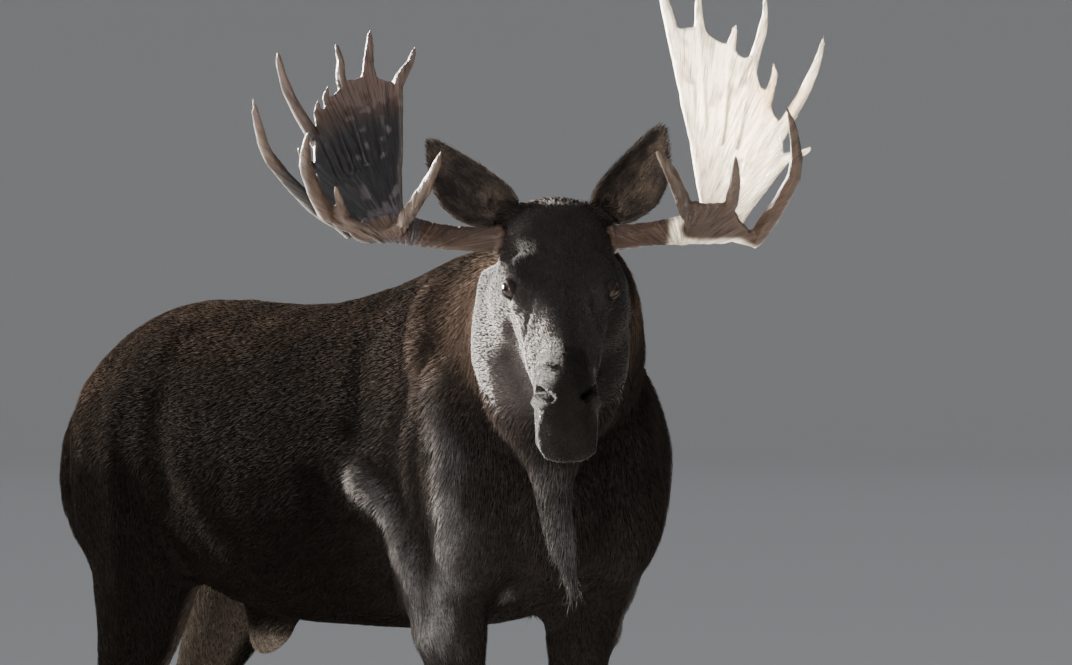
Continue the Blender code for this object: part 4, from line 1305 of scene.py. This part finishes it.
# %% Horn
HORN = np.array((0.011, 0.009, 0.008))
HORN_WORN = np.array((0.035, 0.029, 0.023))
HORN_RING = 0.0085  # half the distance from one ring to the next
SOLE = 0.0002  # how far above the floor the soles are kept


def make_horn(name, start, voxel, rounds):
    """The nodes whose names begin with start, as smoothed and ringed horn."""
    claws = [thing for node, thing in nodes.items() if node.startswith(start)]
    horn = remeshed(name, claws, voxel)
    points, edges = points_of(horn), edges_of(horn)
    sole = points[:, 2] < voxel
    points = even_out(points, edges, rounds)
    set_points(horn, points)
    normals = normals_of(horn)
    wobble = 0.5 * lumps(points, 0.03, 31)
    rings = np.sin(points[:, 2] / HORN_RING * math.pi + 2 * wobble) * (1 - np.abs(normals[:, 2]))
    points = points + normals * (0.0005 * rings - 0.0004)[:, None]
    points[sole, 2] = points[sole, 2].clip(SOLE)
    set_points(horn, points)
    worn = ramp(-points[:, 2], -0.030, -0.004) * (0.5 + 0.5 * lumps(points, 0.012, 32))
    paint(horn, toward(all_over(HORN, points), HORN_WORN, 0.6 * worn + 0.12 * rings))
    return horn


hooves = make_horn("hooves", "hoof", 0.0042, 16)
dewclaws = make_horn("horn_dewclaws", "dewclaw", 0.0034, 12)
print("horn:", len(hooves.data.polygons), "and", len(dewclaws.data.polygons), "quads")

# %% [markdown]
# ## Finish of skin and coat

# %% Materials that read the colours, painted light included


def add_node(tree, kind, values, sources, operation=None):
    """A new node, with inputs set to values or linked to other nodes' outputs."""
    node = tree.nodes.new("ShaderNode" + kind)
    if operation:
        node.operation = operation
    for key, value in values.items():
        node.inputs[key].default_value = value
    for key, output in sources.items():
        tree.links.new(output, node.inputs[key])
    return node


def stored(tree, name):
    """The node that reads what is stored at each point under this name."""
    node = add_node(tree, "Attribute", {}, {})
    node.attribute_name = name
    return node


def bumped(tree, depth, height):
    """Lets height, times depth, roughen the surface."""
    bump = add_node(tree, "Bump", {"Distance": depth}, {"Height": height})
    tree.links.new(bump.outputs["Normal"], tree.nodes["Principled BSDF"].inputs["Normal"])


def scaled_colour(tree, colour, scale):
    """Makes the surface's colour this colour times scale."""
    scaled = add_node(tree, "VectorMath", {}, {0: colour, "Scale": scale}, "SCALE")
    tree.links.new(scaled.outputs["Vector"], tree.nodes["Principled BSDF"].inputs["Base Color"])


def tinted(name, roughness, specular, size, strength, depth):
    """The stored colours, broken up by fine noise, with a bump of its own."""
    material = bpy.data.materials.new(name)
    material.use_nodes = True
    tree = material.node_tree
    surface = tree.nodes["Principled BSDF"]
    surface.inputs["Roughness"].default_value = roughness
    surface.inputs["Specular IOR Level"].default_value = specular
    where = add_node(tree, "TexCoord", {}, {}).outputs["Object"]
    grain = add_node(tree, "TexNoise", {"Scale": 1 / size, "Detail": 3}, {"Vector": where})
    limits = {"From Min": 0.3, "From Max": 0.7, "To Min": 1 - strength, "To Max": 1 + strength}
    span = add_node(tree, "MapRange", limits, {"Value": grain.outputs["Fac"]})
    scaled_colour(tree, stored(tree, "tint").outputs["Color"], span.outputs["Result"])
    if depth:
        bumped(tree, depth, grain.outputs["Fac"])
    return material


def grained(name, roughness, specular, depth):
    """Bone: the stored colours with fine streaks and grooves drawn out along the grain."""
    material = tinted(name, roughness, specular, 0.012, 0.06, 0)
    tree = material.node_tree
    drawn = add_node(tree, "VectorMath", {1: (420, 8, 22)},
                     {0: stored(tree, "grain").outputs["Vector"]}, "MULTIPLY")
    groove = add_node(tree, "TexNoise", {"Scale": 1, "Detail": 4},
                      {"Vector": drawn.outputs["Vector"]})
    limits = {"From Min": 0.36, "From Max": 0.50, "To Min": 0.46, "To Max": 1.08}
    line = add_node(tree, "MapRange", limits, {"Value": groove.outputs["Fac"]}).outputs["Result"]
    before = tree.nodes["Principled BSDF"].inputs["Base Color"].links[0].from_socket
    scaled_colour(tree, before, line)
    bumped(tree, depth, line)
    return material


# Name, roughness, specular level, size of the noise, its strength, and depth of the bump.
hide = tinted("hide", 0.6, 0.0, 0.004, 0.35, 0.002)
hair = tinted("hair", 0.60, 0.0, 0.010, 0.30, 0)
face_hair = tinted("face_hair", 0.55, 0.045, 0.010, 0.30, 0)
bone_material = grained("bone", 0.50, 0.18, 0.0010)
horn_material = tinted("horn", 0.45, 0.15, 0.003, 0.25, 0.0006)
lid_material = tinted("lid_skin", 0.55, 0.02, 0.0015, 0.30, 0.0004)
eye_material = tinted("eye", 0.08, 0.14, 0.002, 0.10, 0)
skin.data.materials.append(hide)
for piece in coat:
    piece.data.materials.append(face_hair if piece.name.startswith("coat_face") else hair)
for material, things in (
    (eye_material, eyeballs.values()),
    (lid_material, lids),
    (bone_material, [bone for bone, _ in bones.values()]),
    (horn_material, [hooves, dewclaws]),
):
    for thing in things:
        thing.data.materials.append(material)
print("materials:", len(bpy.data.materials))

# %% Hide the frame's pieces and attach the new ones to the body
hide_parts(*FLESH)
for name, ball in eyeballs.items():
    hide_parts(f"eye_{name}")
for bone, names in bones.values():
    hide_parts(*names)
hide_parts(*[name for name in nodes if name.startswith("hoof")])
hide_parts(*[name for name in nodes if name.startswith("dewclaw")])
shown = [skin, *coat, *eyeballs.values(), *lids, *(bone for bone, _ in bones.values()),
         hooves, dewclaws]
for thing in shown:
    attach(thing, BODY)
boxes = [[list(map(float, corner)) for corner in box] for box in (cad_box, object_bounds())]
total = sum(len(triangles_of(thing)) for thing in shown)
print("whole model:", total, "triangles; box", np.round(np.subtract(boxes[1][1], boxes[1][0]), 3))
